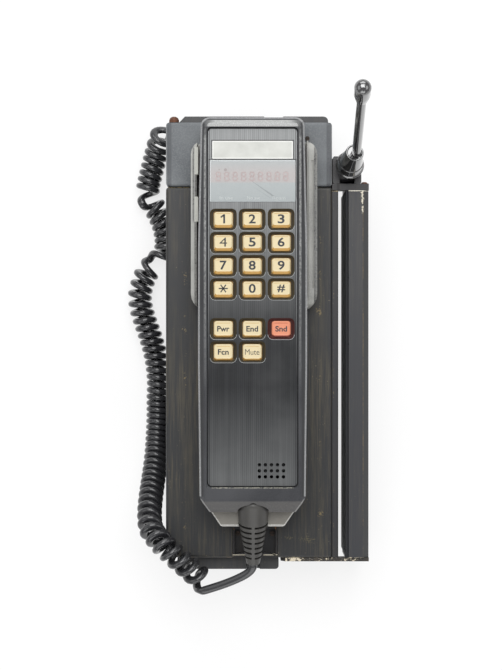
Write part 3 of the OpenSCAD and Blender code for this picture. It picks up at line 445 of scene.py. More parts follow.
def chips(tree, place, edges, amount, scale_mm=0.9, shift=0.0):
    """Ragged paint loss: noise that only passes close to the edges where edges is 1."""
    ragged = grain(tree, place, scale_mm, detail=4, rough=0.65, shift=shift)
    patchy = grain(tree, place, 9, detail=2, shift=shift + 7)
    both = linear(tree, patchy, 0.55, times(tree, ragged, 0.6))
    lifted = linear(tree, edges, amount, both)
    return mask(tree, lifted, 0.93, 0.97)


def near(tree, coordinate, at_mm, within_mm):
    """1 at a plane across one axis, falling to 0 at a distance from it."""
    return minus(tree, 1.0, past(tree, off_centre(tree, coordinate, at_mm), 0.0, within_mm))


def most(tree, *values):
    result = values[0]
    for value in values[1:]:
        result = sums(tree, "MAXIMUM", result, value)
    return result


def brushed_paint(name, shade, worn, losses_and_shade=None, wear=0.5, roughness=0.42, specular=0.42):
    """Black stove paint on steel, rubbed along its length: brown where it is thin, pale where it chipped, and
    dark where a row lays painted shade.
    """
    material, tree, shader, place = new_material(name)
    streak = grain(tree, place, 0.6, stretch=(1, 0.03, 1), detail=4, rough=0.7)
    streak_wide = grain(tree, place, 3.2, stretch=(1, 0.05, 1), detail=3, rough=0.6, shift=5)
    cloud = grain(tree, place, 42, detail=3, shift=11)
    fleck = grain(tree, place, 0.8, detail=2, shift=17)
    both = linear(tree, streak_wide, 0.45, times(tree, streak, 0.55))
    thin = times(tree, mask(tree, both, 0.46, 0.62), mask(tree, cloud, 0.3, 0.6))
    painted = tinted(tree, colour(shade), thin, wear, worn)
    # nicks down to the primer, a millimetre or less across
    nick = mask(tree, linear(tree, cloud, 0.12, fleck), 0.8, 0.83)
    shaded = tinted(tree, painted, nick, 0.8, "#94876a")
    # each row lays a bare colour where the paint is lost; the rows for the back plate and the rail lay
    # painted shade as well
    for where, share, bare_and_shade_colour in losses_and_shade(tree, place) if losses_and_shade else ():
        shaded = mix(tree, chips(tree, place, where, share), shaded, colour(bare_and_shade_colour))
    set_finish(tree, shader, shaded, Roughness=roughness, Specular_IOR_Level=specular)
    bumps(tree, shader, both, 0.05, 0.7)
    return material


def plain_finish(
    name, shade, roughness=0.5, metallic=0.0, grain_mm=0.8, vary="#000000", amount=0.12, bump_mm=0.02,
    coat=0.0, specular=0.5,
):
    """A finish with a fine grain and a slow change of tone."""
    material, tree, shader, place = new_material(name)
    fine = grain(tree, place, grain_mm, detail=3)
    slow = grain(tree, place, 14, detail=2, shift=2)
    both = linear(tree, slow, 0.6, times(tree, fine, 0.4))
    set_finish(
        tree, shader, tinted(tree, colour(shade), mask(tree, both, 0.35, 0.7), amount, vary),
        Metallic=metallic, Roughness=roughness, Coat_Weight=coat, Coat_Roughness=0.06,
        Coat_IOR=1.5 + 0.9 * max(coat - 0.5, 0), Specular_IOR_Level=specular,
    )
    if bump_mm:
        bumps(tree, shader, fine, bump_mm)
    return material


# the handset's middle across, the ends of the opening that its fascia lies in, and the cradle's outer
# contour on its left and its right
SET_MIDDLE = 1.9
OPENING_HEAD = 109.8
OPENING_FOOT = -75.7
CRADLE_LEFT = -30.4
CRADLE_RIGHT = 35.8


def slanted_rim(tree, side, y, lean, start_mm, within_mm):
    """1 along an edge that leans across the plan: the edge is where side + lean * y reaches start."""
    over = minus(tree, linear(tree, y, lean, side), start_mm * MM)
    return past(tree, over, -within_mm - 0.1, -within_mm + 0.1)


def set_wear_and_shading(tree, place):
    """Marks on the handset's front: rubbed wear on its crest, head and the panel's foot; a painted highlight
    on its outer rim and on the lip's rim; painted light on the slope of its lip; painted shade on its
    chamfer, darker towards the foot, and in the gap beside the fascia.
    """
    x, y = axes(tree, place)[:2]
    side = off_centre(tree, x, SET_MIDDLE)
    ragged = grain(tree, place, 0.9, detail=3, shift=23)
    grains = mask(tree, grain(tree, place, 1.1, stretch=(1, 0.6, 1), detail=3, shift=41), 0.4, 0.56)
    body = past(tree, y, -80.9, -80.3)
    crest = times(
        tree, facing(tree, 0.4, 1.1), span(tree, side, 24.05, 25.15, 0.15),
        past(tree, y, -26, 52), past(tree, y, 111, 108),
        linear(tree, grains, 0.55, 0.45),
    )
    # painted shade: a dark line on the frame where the gap beside the fascia lies
    gap = times(tree, span(tree, side, 23.45, 23.95, 0.1), span(tree, y, -76, 111, 0.5))
    # the outline narrows towards its head and its foot, and its head corners are round
    narrowed = linear(tree, excess(tree, y, 48 * MM), 0.0223, side)
    over = linear(tree, excess(tree, -12 * MM, y), 0.0115, narrowed)
    from_corner = diagonal(tree, excess(tree, over, 23.2 * MM), excess(tree, y, 110.4 * MM))
    # painted highlight along the outer rim
    rim = times(tree, facing(tree, -0.1, 0.97), past(tree, from_corner, 3.95, 4.2), body)
    corner = times(
        tree, span(tree, from_corner, 1.6, 3.85, 0.15), past(tree, y, 104, 107),
        past(tree, over, 20.5, 24),
    )
    # painted shade on the chamfer, and more of it towards the foot
    chamfer = times(tree, facing(tree, 0.4, 0.8), past(tree, side, 25.2, 25.4), body)
    low = times(tree, chamfer, past(tree, y, 60, -20))
    head = times(
        tree, facing(tree, 0.25, 1.1, 0.08), past(tree, y, OPENING_HEAD + 0.1, OPENING_HEAD + 0.5),
        past(tree, y, 113.9, 113.6), past(tree, side, 25.6, 22.6),
    )
    head_line = span(tree, y, 113.7, 114.3, 0.1)
    # painted light on the lip's slope, which faces the foot, and a painted highlight along the lip's slanting
    # rims
    slope = times(tree, facing(tree, 0.1, 0.93), past(tree, y, -82.6, -83.6))
    lip_rim = times(tree, slanted_rim(tree, side, y, -0.69, 83.6, 0.9), past(tree, y, -81.5, -82.2))
    foot = times(
        tree, near(tree, y, OPENING_FOOT - 0.3, 0.5), past(tree, side, 21.4, 20.4),
        mask(tree, ragged, 0.42, 0.56), facing(tree, 0.2, 1.1),
    )
    return [
        (chamfer, 0.55, "#1c1d20"), (low, 0.6, "#1b1c1e"), (gap, 0.7, "#1c1d20"), (crest, 0.85, "#a2a3a1"),
        (head, 0.95, "#bdbebd"), (head_line, 0.8, "#26272a"), (corner, 0.9, "#2a2b2e"), (rim, 0.9, "#a4a5a6"),
        (slope, 0.8, "#5f5d5b"), (lip_rim, 0.65, "#9a9a99"), (foot, 0.85, "#bdb9a8"),
    ]


def nose_light_and_shade(tree, place):
    """Painted highlights on the nose's rims and flanks, and a painted shade line at the step between the lip
    and the nose.
    """
    x, y, z = axes(tree, place)
    side = off_centre(tree, x, SET_MIDDLE)
    rim = times(tree, facing(tree, 0.12, 0.93), past(tree, y, -96.0, -96.6))
    flank = times(
        tree, slanted_rim(tree, side, y, -0.66, 81.1, 0.95), past(tree, y, -88.9, -89.2),
        past(tree, z, 74, 76),
    )
    # painted shade: a dark line at the step between the lip and the nose
    step = times(tree, near(tree, y, -89.3, 0.35), past(tree, z, 76, 77))
    return [(step, 0.6, "#4a4845"), (rim, 0.95, "#c9c8c4"), (flank, 0.95, "#d0cfcb")]


def cradle_wear_and_shading(tree, place):
    """Pale crests and scuffs; painted shade: dark lines inside the outer contours where grooves lie, a dark
    recess between the left wing's pads, a dark shelf beside the handset, and the right wing's outer rim
    darkened.
    """
    x, y, z = axes(tree, place)
    high = past(tree, z, 58, 60)
    crest = times(tree, facing(tree, 0.1, 0.9), high)
    left = past(tree, x, 0, -1)
    # painted shade: dark lines inside the outer contours, where the grooves lie
    inner_left = span(tree, x, CRADLE_LEFT + 0.85, -28.6, 0.12)
    inner_right = span(tree, x, CRADLE_RIGHT - 1.75, CRADLE_RIGHT - 0.8, 0.12)
    length = span(tree, y, 62, 101.5, 1)
    # painted shade in the recess between the left wing's pads, and on the shelf beside the handset
    inside = times(tree, left, past(tree, x, -28.5, -28.2))
    recess = times(tree, inside, span(tree, y, 75.1, 86.7, 0.25))
    shelf = times(tree, left, past(tree, x, -28.75, -28.45), past(tree, y, 62.4, 61.6))
    # painted shade along the right wing's outer rim
    outer = times(tree, past(tree, x, CRADLE_RIGHT - 0.95, CRADLE_RIGHT - 0.7), high)
    scuffs = grain(tree, place, 3.5, stretch=(1, 0.3, 1), detail=4, rough=0.7, shift=31)
    return [
        (crest, linear(tree, left, -0.3, 0.6), "#b9b9b4"),
        (times(tree, mask(tree, scuffs, 0.56, 0.66), high), 0.35, "#6c6c69"),
        (times(tree, inner_left, length, high), 0.85, "#222225"),
        (times(tree, inner_right, span(tree, y, 18, 101.5, 1), high), 1.0, "#222225"),
        (times(tree, recess, high), 1.0, "#101013"), (times(tree, shelf, high), 0.9, "#353534"),
        (outer, 0.9, "#4a4a49"),
    ]


def cover_losses(tree, place):
    x, y = axes(tree, place)[:2]
    foot = near(tree, y, -116.3, 0.6)
    side = off_centre(tree, x, SET_MIDDLE)
    return [
        (times(tree, foot, past(tree, x, 14, 17)), 0.31, "#cfbf9a"),
        (times(tree, foot, past(tree, x, -8, -10)), 0.33, "#6f5d3e"),
        (near(tree, y, 81.6, 0.6), 0.34, "#8f7e58"),
        (near(tree, x, 43.7, 0.35), 0.28, "#5f5338"),
        (times(tree, span(tree, x, 16, 40, 3), near(tree, y, -106, 9)), 0.36, "#4d4836"),
        (times(tree, near(tree, side, 36, 6), span(tree, y, -108, 70, 8)), 0.27, "#77694a"),
    ]


def pack_losses(tree, place):
    x, y = axes(tree, place)[:2]
    return [
        (times(tree, past(tree, x, 60.9, 61.3), facing(tree, 0.3, 0.9)), 1.0, "#202123"),
        (times(tree, near(tree, x, 60.0, 2.2), near(tree, y, 25.5, 2.5)), 0.36, "#a89a78"),
        (times(tree, near(tree, x, 59.6, 2.0), near(tree, y, 18.5, 2.0)), 0.33, "#8f8263"),
        (near(tree, x, 61.05, 0.5), 0.42, "#6f5e40"),
        (
            times(tree, near(tree, x, 60.7, 3.0), past(tree, y, 54, 76), facing(tree, 0.3, 1.1)),
            0.42, "#d9d2bf",
        ),
        (near(tree, y, 79.95, 0.75), 0.46, "#e6e1d2"),
        (near(tree, y, -116.4, 0.8), 0.35, "#d6c9ad"),
    ]


def back_dark_bands(tree, place):
    """Painted shade: the foot of the wall is painted dark for the slot's shadow, and a darker band runs along
    its top edge.
    """
    z = axes(tree, place)[2]
    return [(past(tree, z, 9, 6), 1.0, "#0c0c0d"), (past(tree, z, 52.5, 54), 1.0, "#27282b")]


def rail_losses_and_shade(tree, place):
    x, y = axes(tree, place)[:2]
    return [
        # painted shade: a near-black line along the rail's outer edge, where it drops into the slot
        (past(tree, off_centre(tree, x, 47.8), 0.75, 0.65), 1.0, "#060607"),
        (near(tree, y, 79.8, 0.9), 0.38, "#a3906a"), (near(tree, x, 45.4, 0.35), 0.3, "#8a7a58"),
        (near(tree, x, 44.8, 0.3), 0.27, "#6b5d40"),
    ]


def plate_losses(tree, place):
    x, _, z = axes(tree, place)
    return [(near(tree, z, 53.4, 0.5), 0.33, "#d8cdb6"), (near(tree, x, 64.0, 0.6), 0.33, "#cbbfa6")]


def guide_losses_and_highlight(tree, place):
    x, y = axes(tree, place)[:2]
    walls = most(tree, near(tree, x, -8.8, 0.6), near(tree, x, 15.3, 0.6))
    rust = most(
        tree, spot(tree, place, (-7.7, -100.7), 1.2), spot(tree, place, (13.9, -100.7), 1.2)
    )
    # the lip's crest: worn bare, and given a painted highlight
    lip = times(
        tree, span(tree, y, -115.15, -114.75, 0.08), facing(tree, 0.3, 1.1),
        past(tree, off_centre(tree, x, 3.2), 4.2, 5.2),
    )
    return [(walls, 0.34, "#59432b"), (rust, 0.33, "#6d4a22"), (lip, 1.0, "#b9b2a0")]


def cap_shade_and_highlight(tree, place):
    """Painted shade where the cap's sides fall away, inside a thin painted highlight along its outer contour.
    """
    side = off_centre(tree, axes(tree, place)[0], 0)
    return [
        (span(tree, side, 41.5, 43.7, 0.25), 0.75, "#333439"),
        (past(tree, side, 43.7, 43.95), 0.8, "#8a8b8c"),
    ]


cap_abs = moulded_abs(
    "textured ABS, top cap", "#505458", "#777b7e", texture_mm=0.8, bump_mm=0.09, wear_and_light=cap_shade_and_highlight,
)
handset_abs = moulded_abs(
    "textured ABS, handset front shell", "#2b2c30", "#434447", roughness=0.45, specular=0.36, wear_and_light=set_wear_and_shading,
)
rear_abs = moulded_abs(
    "textured ABS, handset rear shell", "#716e68", "#85827b", roughness=0.46, wear_and_light=nose_light_and_shade,
)
cradle_abs = moulded_abs(
    "textured ABS, cradle", "#8f8f8c", "#adada8", texture_mm=0.9, bump_mm=0.09, wear_and_light=cradle_wear_and_shading,
)
pad_nylon = moulded_abs("pale nylon, cradle pads", "#a5a59f", "#c2c3bb", texture_mm=0.8, bump_mm=0.12)
cover_paint = brushed_paint("black paint on steel, front cover", "#262729", "#57503f", cover_losses, wear=0.6)
pack_paint = brushed_paint("black paint on the battery pack", "#313236", "#504c44", pack_losses, wear=0.35)
back_paint = brushed_paint(
    "dull black paint, battery back plate", "#58595d", "#615b52", back_dark_bands,
    wear=0.3, roughness=0.75, specular=0.25,
)
rail_paint = brushed_paint("black paint, side rail", "#27272a", "#4a4438", rail_losses_and_shade, wear=0.3)
plate_paint = brushed_paint("black paint, foot plate", "#2a2827", "#4c4336", plate_losses, wear=0.7)
guide_paint = brushed_paint(
    "black paint, cord guide", "#1c1c1f", "#3a3024", guide_losses_and_highlight, wear=0.5, roughness=0.5,
)
chassis_paint = brushed_paint("black paint on cast aluminium", "#37383a", "#5a5248", wear=0.25)
rear_paint = brushed_paint("black paint, rear plate", "#303032", "#4f4a42", wear=0.3)
brass = plain_finish("turned brass", "#a8763c", 0.38, 1.0, vary="#5a3a18", amount=0.5)
# brass darkened nearly black, with a little brown tint
dull_brass = plain_finish(
    "brass, darkened nearly black", "#171412", 0.55, 0.15, vary="#5a3a1c", amount=0.55, grain_mm=0.5,
)
copper = plain_finish("tarnished copper", "#6f4a38", 0.6, 0.6, vary="#3a2a22", amount=0.7)
steel = plain_finish("plated steel", "#b8b9b8", 0.35, 1.0, vary="#6d6c6a", amount=0.35)
tin = plain_finish("tinned steel", "#c4c7c9", 0.3, 1.0)
green_board = plain_finish("glass-fibre board", "#2f6b45", 0.4)
nylon = plain_finish("natural nylon", "#c9c7bf", 0.5)
black_rubber = plain_finish(
    "dark grey rubber", "#3b3a38", 0.42, grain_mm=0.5, vary="#565451", amount=0.3, bump_mm=0.015,
)
cord_pvc = plain_finish(
    "black PVC, curly cord", "#252528", 0.24, grain_mm=0.7, vary="#4a4b4d", amount=0.3, bump_mm=0.01,
    coat=0.5,
)
aerial_gloss = plain_finish(
    "glossy black acetal", "#0d0d10", 0.1, grain_mm=1.2, vary="#1d1d1f", amount=0.3, bump_mm=0.003,
    coat=1.0, specular=1.0,
)
mount_abs = plain_finish("black ABS, aerial mount", "#242427", 0.4, grain_mm=0.6, vary="#4a4643", amount=0.3)
driver_plastic = plain_finish("black polystyrene", "#3a3a3d", 0.5)
mat_silicone = plain_finish("dark silicone", "#37373a", 0.55)
display_plastic = plain_finish("display filter", "#747f86", 0.3)
cell_wrap = plain_finish("shrink-wrapped cell", "#5a6c7a", 0.35)


# the middles and half sizes of the label plate and of the window's seat, and the foot of the unlit digits
LABEL_MIDDLE = (1.9, 98.1)
LABEL_HALF = (20.8, 4.6)
WINDOW_MIDDLE = (1.9, 82.1)
WINDOW_HALF = (22.1, 10.8)
DIGITS_FOOT = 81.4
GROOVE_PITCH = 1.05


def fascia_film():
    """Moulded polycarbonate: charcoal, with a painted sheen that pales it towards the head and a little
    towards the foot, and fine grooves down its length.
    """
    material, tree, shader, place = new_material("grooved polycarbonate, fascia")
    x, y = axes(tree, place)[:2]
    # the grooves are as fine as the render can show
    wave = sums(tree, "SINE", times(tree, x, 2 * math.pi / (GROOVE_PITCH * MM)))
    broad = grain(tree, place, 2.4, stretch=(1, 0.03, 1), detail=2, shift=4)
    lines = linear(tree, wave, 0.16, broad)
    smudge = grain(tree, place, 24, detail=3, shift=9)
    base = mix(tree, mask(tree, lines, 0.3, 0.8), colour("#1e1f21"), colour("#2b2c2e"))
    shaded = tinted(tree, base, mask(tree, smudge, 0.45, 0.75), 0.3, "#4c4c4d")
    # painted sheen: the film is laid pale towards the head, and a little towards the foot
    painted_sheen = mix(tree, mask(tree, lines, 0.2, 0.8), colour("#7a7c7d"), colour("#989a9a"))
    shaded = mix(tree, times(tree, past(tree, y, 4, 96), 0.88), shaded, painted_sheen)
    shaded = mix(tree, times(tree, past(tree, y, -24, -70), 0.3), shaded, painted_sheen)
    # the sides of the fascia are paler towards the head, beside a dark line
    side = off_centre(tree, x, SET_MIDDLE)
    shaded = tinted(tree, shaded, near(tree, side, 22.25, 0.4), 0.75, "#26272a")
    pale_side = times(tree, near(tree, side, 22.75, 0.45), past(tree, y, -20, 50))
    shaded = tinted(tree, shaded, pale_side, 0.85, "#8f9192")
    # painted shade in the gaps round the label plate and the window's seat
    seat_shade = most(
        tree, ring_line(tree, x, y, LABEL_MIDDLE, LABEL_HALF, 0.35, 0.4),
        times(tree, ring_line(tree, x, y, WINDOW_MIDDLE, WINDOW_HALF, 0.3, 0.35), past(tree, y, 72, 74)),
    )
    shaded = tinted(tree, shaded, seat_shade, 0.85, "#1d1e20")
    set_finish(tree, shader, shaded, Roughness=0.3, Specular_IOR_Level=0.26)
    bumps(tree, shader, lines, 0.02, 0.5)
    return material


film = fascia_film()


def foil_plate():
    """A bare foil plate, matt and pale, with bright cut edges."""
    material, tree, shader, place = new_material("matt aluminium foil plate")
    x, y = axes(tree, place)[:2]
    slow = grain(tree, place, 7, detail=3)
    fine = grain(tree, place, 0.5, detail=2, shift=5)
    shaded = mix(tree, mask(tree, slow, 0.3, 0.7), colour("#b3b4af"), colour("#c0c1bc"))
    shaded = tinted(tree, shaded, fine, 0.15, "#a3a49f")
    edge = ring_line(tree, x, y, LABEL_MIDDLE, LABEL_HALF, -0.3, 0.4)
    shaded = tinted(tree, shaded, edge, 0.8, "#e0e1de")
    set_finish(tree, shader, shaded, Roughness=0.45, Metallic=0.1)
    return material


def smoked_window():
    """Acrylic over the unlit display, pale grey-blue as a painted reflection: warm over the digits, cooler
    below them, with a painted highlight along its top and left edges, scratched and smeared.
    """
    material, tree, shader, place = new_material("acrylic, display window")
    x, y = axes(tree, place)[:2]
    slow = grain(tree, place, 9, detail=2)
    warm = times(tree, past(tree, y, DIGITS_FOOT - 0.6, DIGITS_FOOT + 0.4), past(tree, y, 93, 86.5))
    # the acrylic's pale grey-blue is a painted reflection; it is warmer over the digits
    base = mix(tree, warm, colour("#8b9192"), colour("#96908f"))
    marks = most(
        tree, scratch(tree, place, (-1.2, 83.9), (13.2, 73.8), 0.85),
        scratch(tree, place, (1.5, 79.6), (11, 73.4), 0.12),
    )
    shaded = tinted(tree, base, slow, 0.12, "#a4aaac")
    # a painted highlight along the top and left edges, then spots and scratches on the acrylic
    for where, share, hexa in (
        (most(tree, near(tree, y, 92.55, 0.35), near(tree, x, -19.85, 0.3)), 0.7, "#c2c6c7"),
        (spot(tree, place, (-12.1, 87.8), 1.0), 0.4, "#5b3f3f"),
        (spot(tree, place, (-15.3, 87.9), 0.5), 0.35, "#5b4a4a"), (marks, 0.5, "#5a5e60"),
    ):
        shaded = tinted(tree, shaded, where, share, hexa)
    set_finish(tree, shader, shaded, Roughness=0.12)
    return material


window_acrylic = smoked_window()
label_plate_finish = foil_plate()
ghost_red = plain_finish("unlit red segments", "#9c8b8a", 0.3, bump_mm=0)
pale_print = plain_finish("pale print", "#a8adad", 0.4, bump_mm=0)
slate_ink = plain_finish("slate ink", "#1f232b", 0.45, bump_mm=0)


def key_abs(name, shade, roughness, vary, amount):
    return plain_finish(name, shade, roughness, grain_mm=0.9, vary=vary, amount=amount, bump_mm=0.01)


def well_liner_finish(name, shade, roughness, vary, amount):
    return plain_finish(
        name, shade, roughness, grain_mm=0.7, vary=vary, amount=amount, bump_mm=0.01, specular=0.25,
    )


cream_abs = key_abs("cream ABS, key face", "#cfc09a", 0.42, "#c2b38c", 0.35)
amber_abs = key_abs("amber ABS, key skirt", "#c0954a", 0.4, "#8f6320", 0.3)
salmon_abs = key_abs("salmon ABS, key face", "#d08262", 0.42, "#c07454", 0.35)
brick_abs = key_abs("brick-red ABS, key skirt", "#8f3a26", 0.4, "#6d2718", 0.3)
olive_liner = well_liner_finish("olive polycarbonate, key wells", "#2b2414", 0.42, "#453a20", 0.5)
wine_liner = well_liner_finish("wine-red polycarbonate, key well", "#36100d", 0.5, "#4f1c15", 0.4)
# a painted highlight for the wells' rims at their foot
rim_highlight = plain_finish(
    "polycarbonate, painted highlight", "#a3a7a9", 0.35, grain_mm=0.6, vary="#6c6f72", amount=0.4, bump_mm=0.01,
)


# ---------------------------------------------------------------- curly cord

# the coil's middle line in millimetres, each point with the turns made so far
CURL_POINTS = [
    (-47.8, 116, 13.4, -0.4), (-50.2, 110.1, 9.6, 0.7), (-51.8, 105, 7.7, 1.85),
    (-53.1, 100.3, 7.2, 3.1), (-54.4, 95.2, 7.2, 4.4), (-55.6, 90.2, 7.2, 5.75),
    (-56.6, 85.4, 7.2, 7.1), (-56.6, 80.6, 7.4, 7.9), (-54.6, 76.4, 7.6, 7.9),
    (-51.9, 72.6, 7.4, 7.1), (-49.5, 68, 7.2, 6), (-47.6, 63, 7.2, 4.75),
    (-46.6, 58, 7.2, 3.55), (-46.3, 53, 7.2, 2.4), (-47.6, 48, 7.3, 1.5),
    (-50.9, 44.4, 7.6, 1), (-54.8, 40.8, 7.6, 1), (-58, 36.2, 7.4, 1.9),
    (-60, 30.8, 7.2, 3), (-61.2, 24.8, 7.2, 4.2), (-60.6, 18.4, 7.2, 5.5),
    (-58.6, 11.4, 7.2, 7.1), (-55.8, 3.4, 7.2, 9.1), (-53.2, -5.2, 7.2, 11.3),
    (-51.4, -14.2, 7.2, 13.55), (-50.6, -23.6, 7.2, 15.9), (-50.8, -33, 7.2, 18.35),
    (-50.8, -44, 8, 21.55), (-51.2, -54, 10, 24.55), (-51.5, -62, 13.2, 27),
    (-52.1, -70, 18.6, 29.3), (-52.9, -78, 26, 31.8), (-53.6, -86, 35.6, 34.4),
    (-53.7, -94, 46, 36.8), (-52.3, -101, 55.6, 38.8), (-48, -106, 62, 40.35),
    (-43.9, -110, 65, 41.55), (-39.5, -114, 65.3, 42.65), (-35, -118.2, 63.6, 43.7),
    (-29.9, -123.2, 60.2, 44.9), (-24.6, -128.8, 56, 46),
]
LEAD_POINTS = [
    (2.2, -117, 71.5), (2.17, -118.31, 70.65),
    (2.1, -119.6, 70.4), (0.6, -122.2, 69.2), (-3, -124.6, 67.8), (-7.8, -127, 66.4),
    (-13.2, -129.3, 64.9), (-18.4, -131.2, 63.4), (-22.6, -132.6, 62.1),
]
CURL_RADIUS = 4.6
GLAND_MOUTH = (-41.7, 112.6, 9.4)
# the run out of the gland, and the straight end that meets the coil, are this long
STRAIGHT = 4.2
CORD_WIDE = 4.5
CORD_THICK = 3.35
# below 1, the cord's oval is fuller than an ellipse
CORD_FULLNESS = 0.86
CURL_WINDOW = 0.8
RINGS_PER_TURN = 20


def through(points, u):
    """A smooth curve through points, at a place counted in points."""
    last = len(points) - 1
    i = min(max(math.floor(u), 0), last - 1)
    t = u - i
    a, b, c, d = (points[max(i - 1, 0)], points[i], points[i + 1], points[min(i + 2, last)])
    return [
        0.5 * (2 * q + (r - p) * t + (2 * p - 5 * q + 4 * r - s) * t * t + (3 * q - p - 3 * r + s) * t ** 3)
        for p, q, r, s in zip(a, b, c, d)
    ]


def curl_at(u):
    """The coil's middle, and a point on the curls, at a place along it."""
    last = len(CURL_POINTS) - 1
    ahead = Vector(through(CURL_POINTS, min(u + CURL_WINDOW, last))[:3])
    behind = Vector(through(CURL_POINTS, max(u - CURL_WINDOW, 0))[:3])
    way = (ahead - behind).normalized()
    side = way.cross(Vector((0, 0, 1))).normalized()
    up = side.cross(way)
    here = through(CURL_POINTS, u)
    turn = 2 * math.pi * here[3]
    middle = Vector(here[:3])
    return middle, middle + CURL_RADIUS * (math.cos(turn) * side + math.sin(turn) * up)


def cord_rings():
    """Centres of the cord's rings and the points that its width faces away from, gland first."""
    gland = Vector(GLAND_MOUTH)
    run = Vector((-STRAIGHT, 0, 0))
    line = [(gland + run * k / 6, gland + run * k / 6 + Vector((0, 0, CURL_RADIUS))) for k in range(6)]
    last = len(CURL_POINTS) - 1
    for i in range(last):
        turns = abs(CURL_POINTS[i + 1][3] - CURL_POINTS[i][3])
        count = max(8, round(RINGS_PER_TURN * turns))
        for k in range(count):
            middle, point = curl_at(i + k / count)
            line.append((point, middle))
    middle, point = curl_at(last)
    line.append((point, middle))
    lead = [Vector(p) for p in LEAD_POINTS][::-1]
    first_way = (lead[0] - lead[1]).normalized()
    join = lead[0] + first_way * STRAIGHT
    bend = [point, join, *lead]
    centres = [middle, join - Vector((0, 0, CURL_RADIUS))]
    for i, p in enumerate(lead):
        run = lead[min(i + 1, len(lead) - 1)] - lead[max(i - 1, 0)]
        centres.append(p + run.cross(Vector((0, 0, 1))).normalized() * 12)
    def ring(u):
        return tuple(Vector(through([tuple(p) for p in route], u)) for route in (bend, centres))

    line += [ring(j / 7) for j in range(1, 7)]
    for i in range(1, len(bend) - 1):
        count = 8 if i == 1 else 6
        line += [ring(i + k / count) for k in range(count)]
    line.append((bend[-1], centres[-1]))
    # the hand-over from the coil to the plain lead is eased
    first = len(line) - 70
    for _ in range(24):
        line[first:-8] = [
            tuple((line[i - 1][k] + line[i][k] * 2 + line[i + 1][k]) / 4 for k in (0, 1))
            for i in range(first, len(line) - 8)
        ]
    return line


def cord_tube(name, line, sides=14):
    """A flat oval cord swept along its rings."""
    points = [p for p, _ in line]
    count = len(points)
    ways = [
        (points[min(i + 1, count - 1)] - points[max(i - 1, 0)]).normalized() for i in range(count)
    ]
    frames = []
    for i in range(count):
        out = points[i] - line[i][1]
        frames.append((out - ways[i] * out.dot(ways[i])).normalized())
    # the turn of the width is eased over its neighbours, so that the cord doesn't kink where the run changes
    for _ in range(2):
        frames = [
            (frames[max(i - 1, 0)] + frames[i] * 2 + frames[min(i + 1, count - 1)]).normalized()
            for i in range(count)
        ]
    vertices, faces = [], []
    for i in range(count):
        wide = (frames[i] - ways[i] * frames[i].dot(ways[i])).normalized()
        thin = ways[i].cross(wide)
        for k in range(sides):
            a = 2 * math.pi * (k + 0.5) / sides
            c = math.copysign(abs(math.cos(a)) ** CORD_FULLNESS, math.cos(a))
            s = math.copysign(abs(math.sin(a)) ** CORD_FULLNESS, math.sin(a))
            vertices.append((points[i] + wide * c * CORD_WIDE / 2 + thin * s * CORD_THICK / 2) * MM)
    for i in range(count - 1):
        for k in range(sides):
            a, b = i * sides + k, i * sides + (k + 1) % sides
            faces.append((a, a + sides, b + sides, b))
    faces.append(tuple(range(sides)))
    faces.append(tuple(reversed(range((count - 1) * sides, count * sides))))
    mesh = bpy.data.meshes.new(name)
    mesh.from_pydata([tuple(v) for v in vertices], [], faces)
    mesh.validate()
    obj = bpy.data.objects.new(name, mesh)
    bpy.context.scene.collection.objects.link(obj)
    select_only(obj)
    mode("EDIT")
    bpy.ops.mesh.select_all(action="SELECT")
    bpy.ops.mesh.normals_make_consistent(inside=False)
    mode("OBJECT")
    smooth(obj, 60)
    return obj


cord_line = cord_rings()
curly_cord = cord_tube("curly_cord", cord_line)
finish_piece(curly_cord, "curly_cord", "transceiver", cord_pvc, ["cord_coil", "cord_lead"])


# ---------------------------------------------------------------- dressed copies of the main pieces

# body: node, edge in mm, material, slot
DRESSED = {
    "transceiver": [
        ("front_cover", 0.25, cover_paint, "cover_paint"), ("top_cap", 0.4, cap_abs, "cap_plastic"),
        ("chassis", 0.35, chassis_paint, "chassis"), ("side_rail", 0.2, rail_paint, "rail_paint"),
        ("cord_guide", 0.2, guide_paint, "rail_paint"), ("cradle", 0.8, cradle_abs, "cradle_plastic"),
        ("aerial_bracket", 0.25, rail_paint, "rail_paint"), ("aerial_mount", 0.5, mount_abs, "cap_plastic"),
    ],
    "battery": [
        ("battery_back", 0.15, back_paint, "pack_plastic"),
        ("battery_case", 0.35, pack_paint, "pack_plastic"),
        ("battery_foot_plate", 0.25, plate_paint, "foot_plate"),
    ],
    "handset": [
        ("handset_front", 0.45, handset_abs, "handset_plastic"),
        ("handset_rear", 0.5, rear_abs, "handset_plastic"),
        ("fascia", 0.18, film, "fascia_plastic"), ("strain_relief", 0.25, black_rubber, "rubber"),
    ],
    "aerial": [
        ("aerial_knuckle", 0.4, mount_abs, "aerial_plastic"),
        ("aerial_barrel", 0.2, aerial_gloss, "aerial_plastic"),
        ("aerial_whip", 0.1, aerial_gloss, "aerial_plastic"),
        ("aerial_tip", 0.1, aerial_gloss, "aerial_plastic"),
    ],
}

# the arch's half sizes and height and its middle; the dome's radii, its lean in degrees and its middle
BOOT_ARCH = (8.3, 4.0, 16)
BOOT_MOUTH = (2.2, -88.95, 88)
DOME_RADII = (7.93, 4.6, 7.93)
DOME_LEAN = 19.5
DOME_MIDDLE = (2.2, -84.3, 83.1)
LINING = ((30.32, 17, 56), (31.1, 104.5, 75.4))
# the two pads of the left wing, across, up, and their ranges along it; then the pad at the foot
PAD_ACROSS = (-28.6, -26.55)
PAD_UP = (61, 77.15)
PAD_RANGES = ((62, 75.1), (86.7, 101))
FOOT_PAD = ((-6.1, -66, 55), (9.9, -58, 55.3))


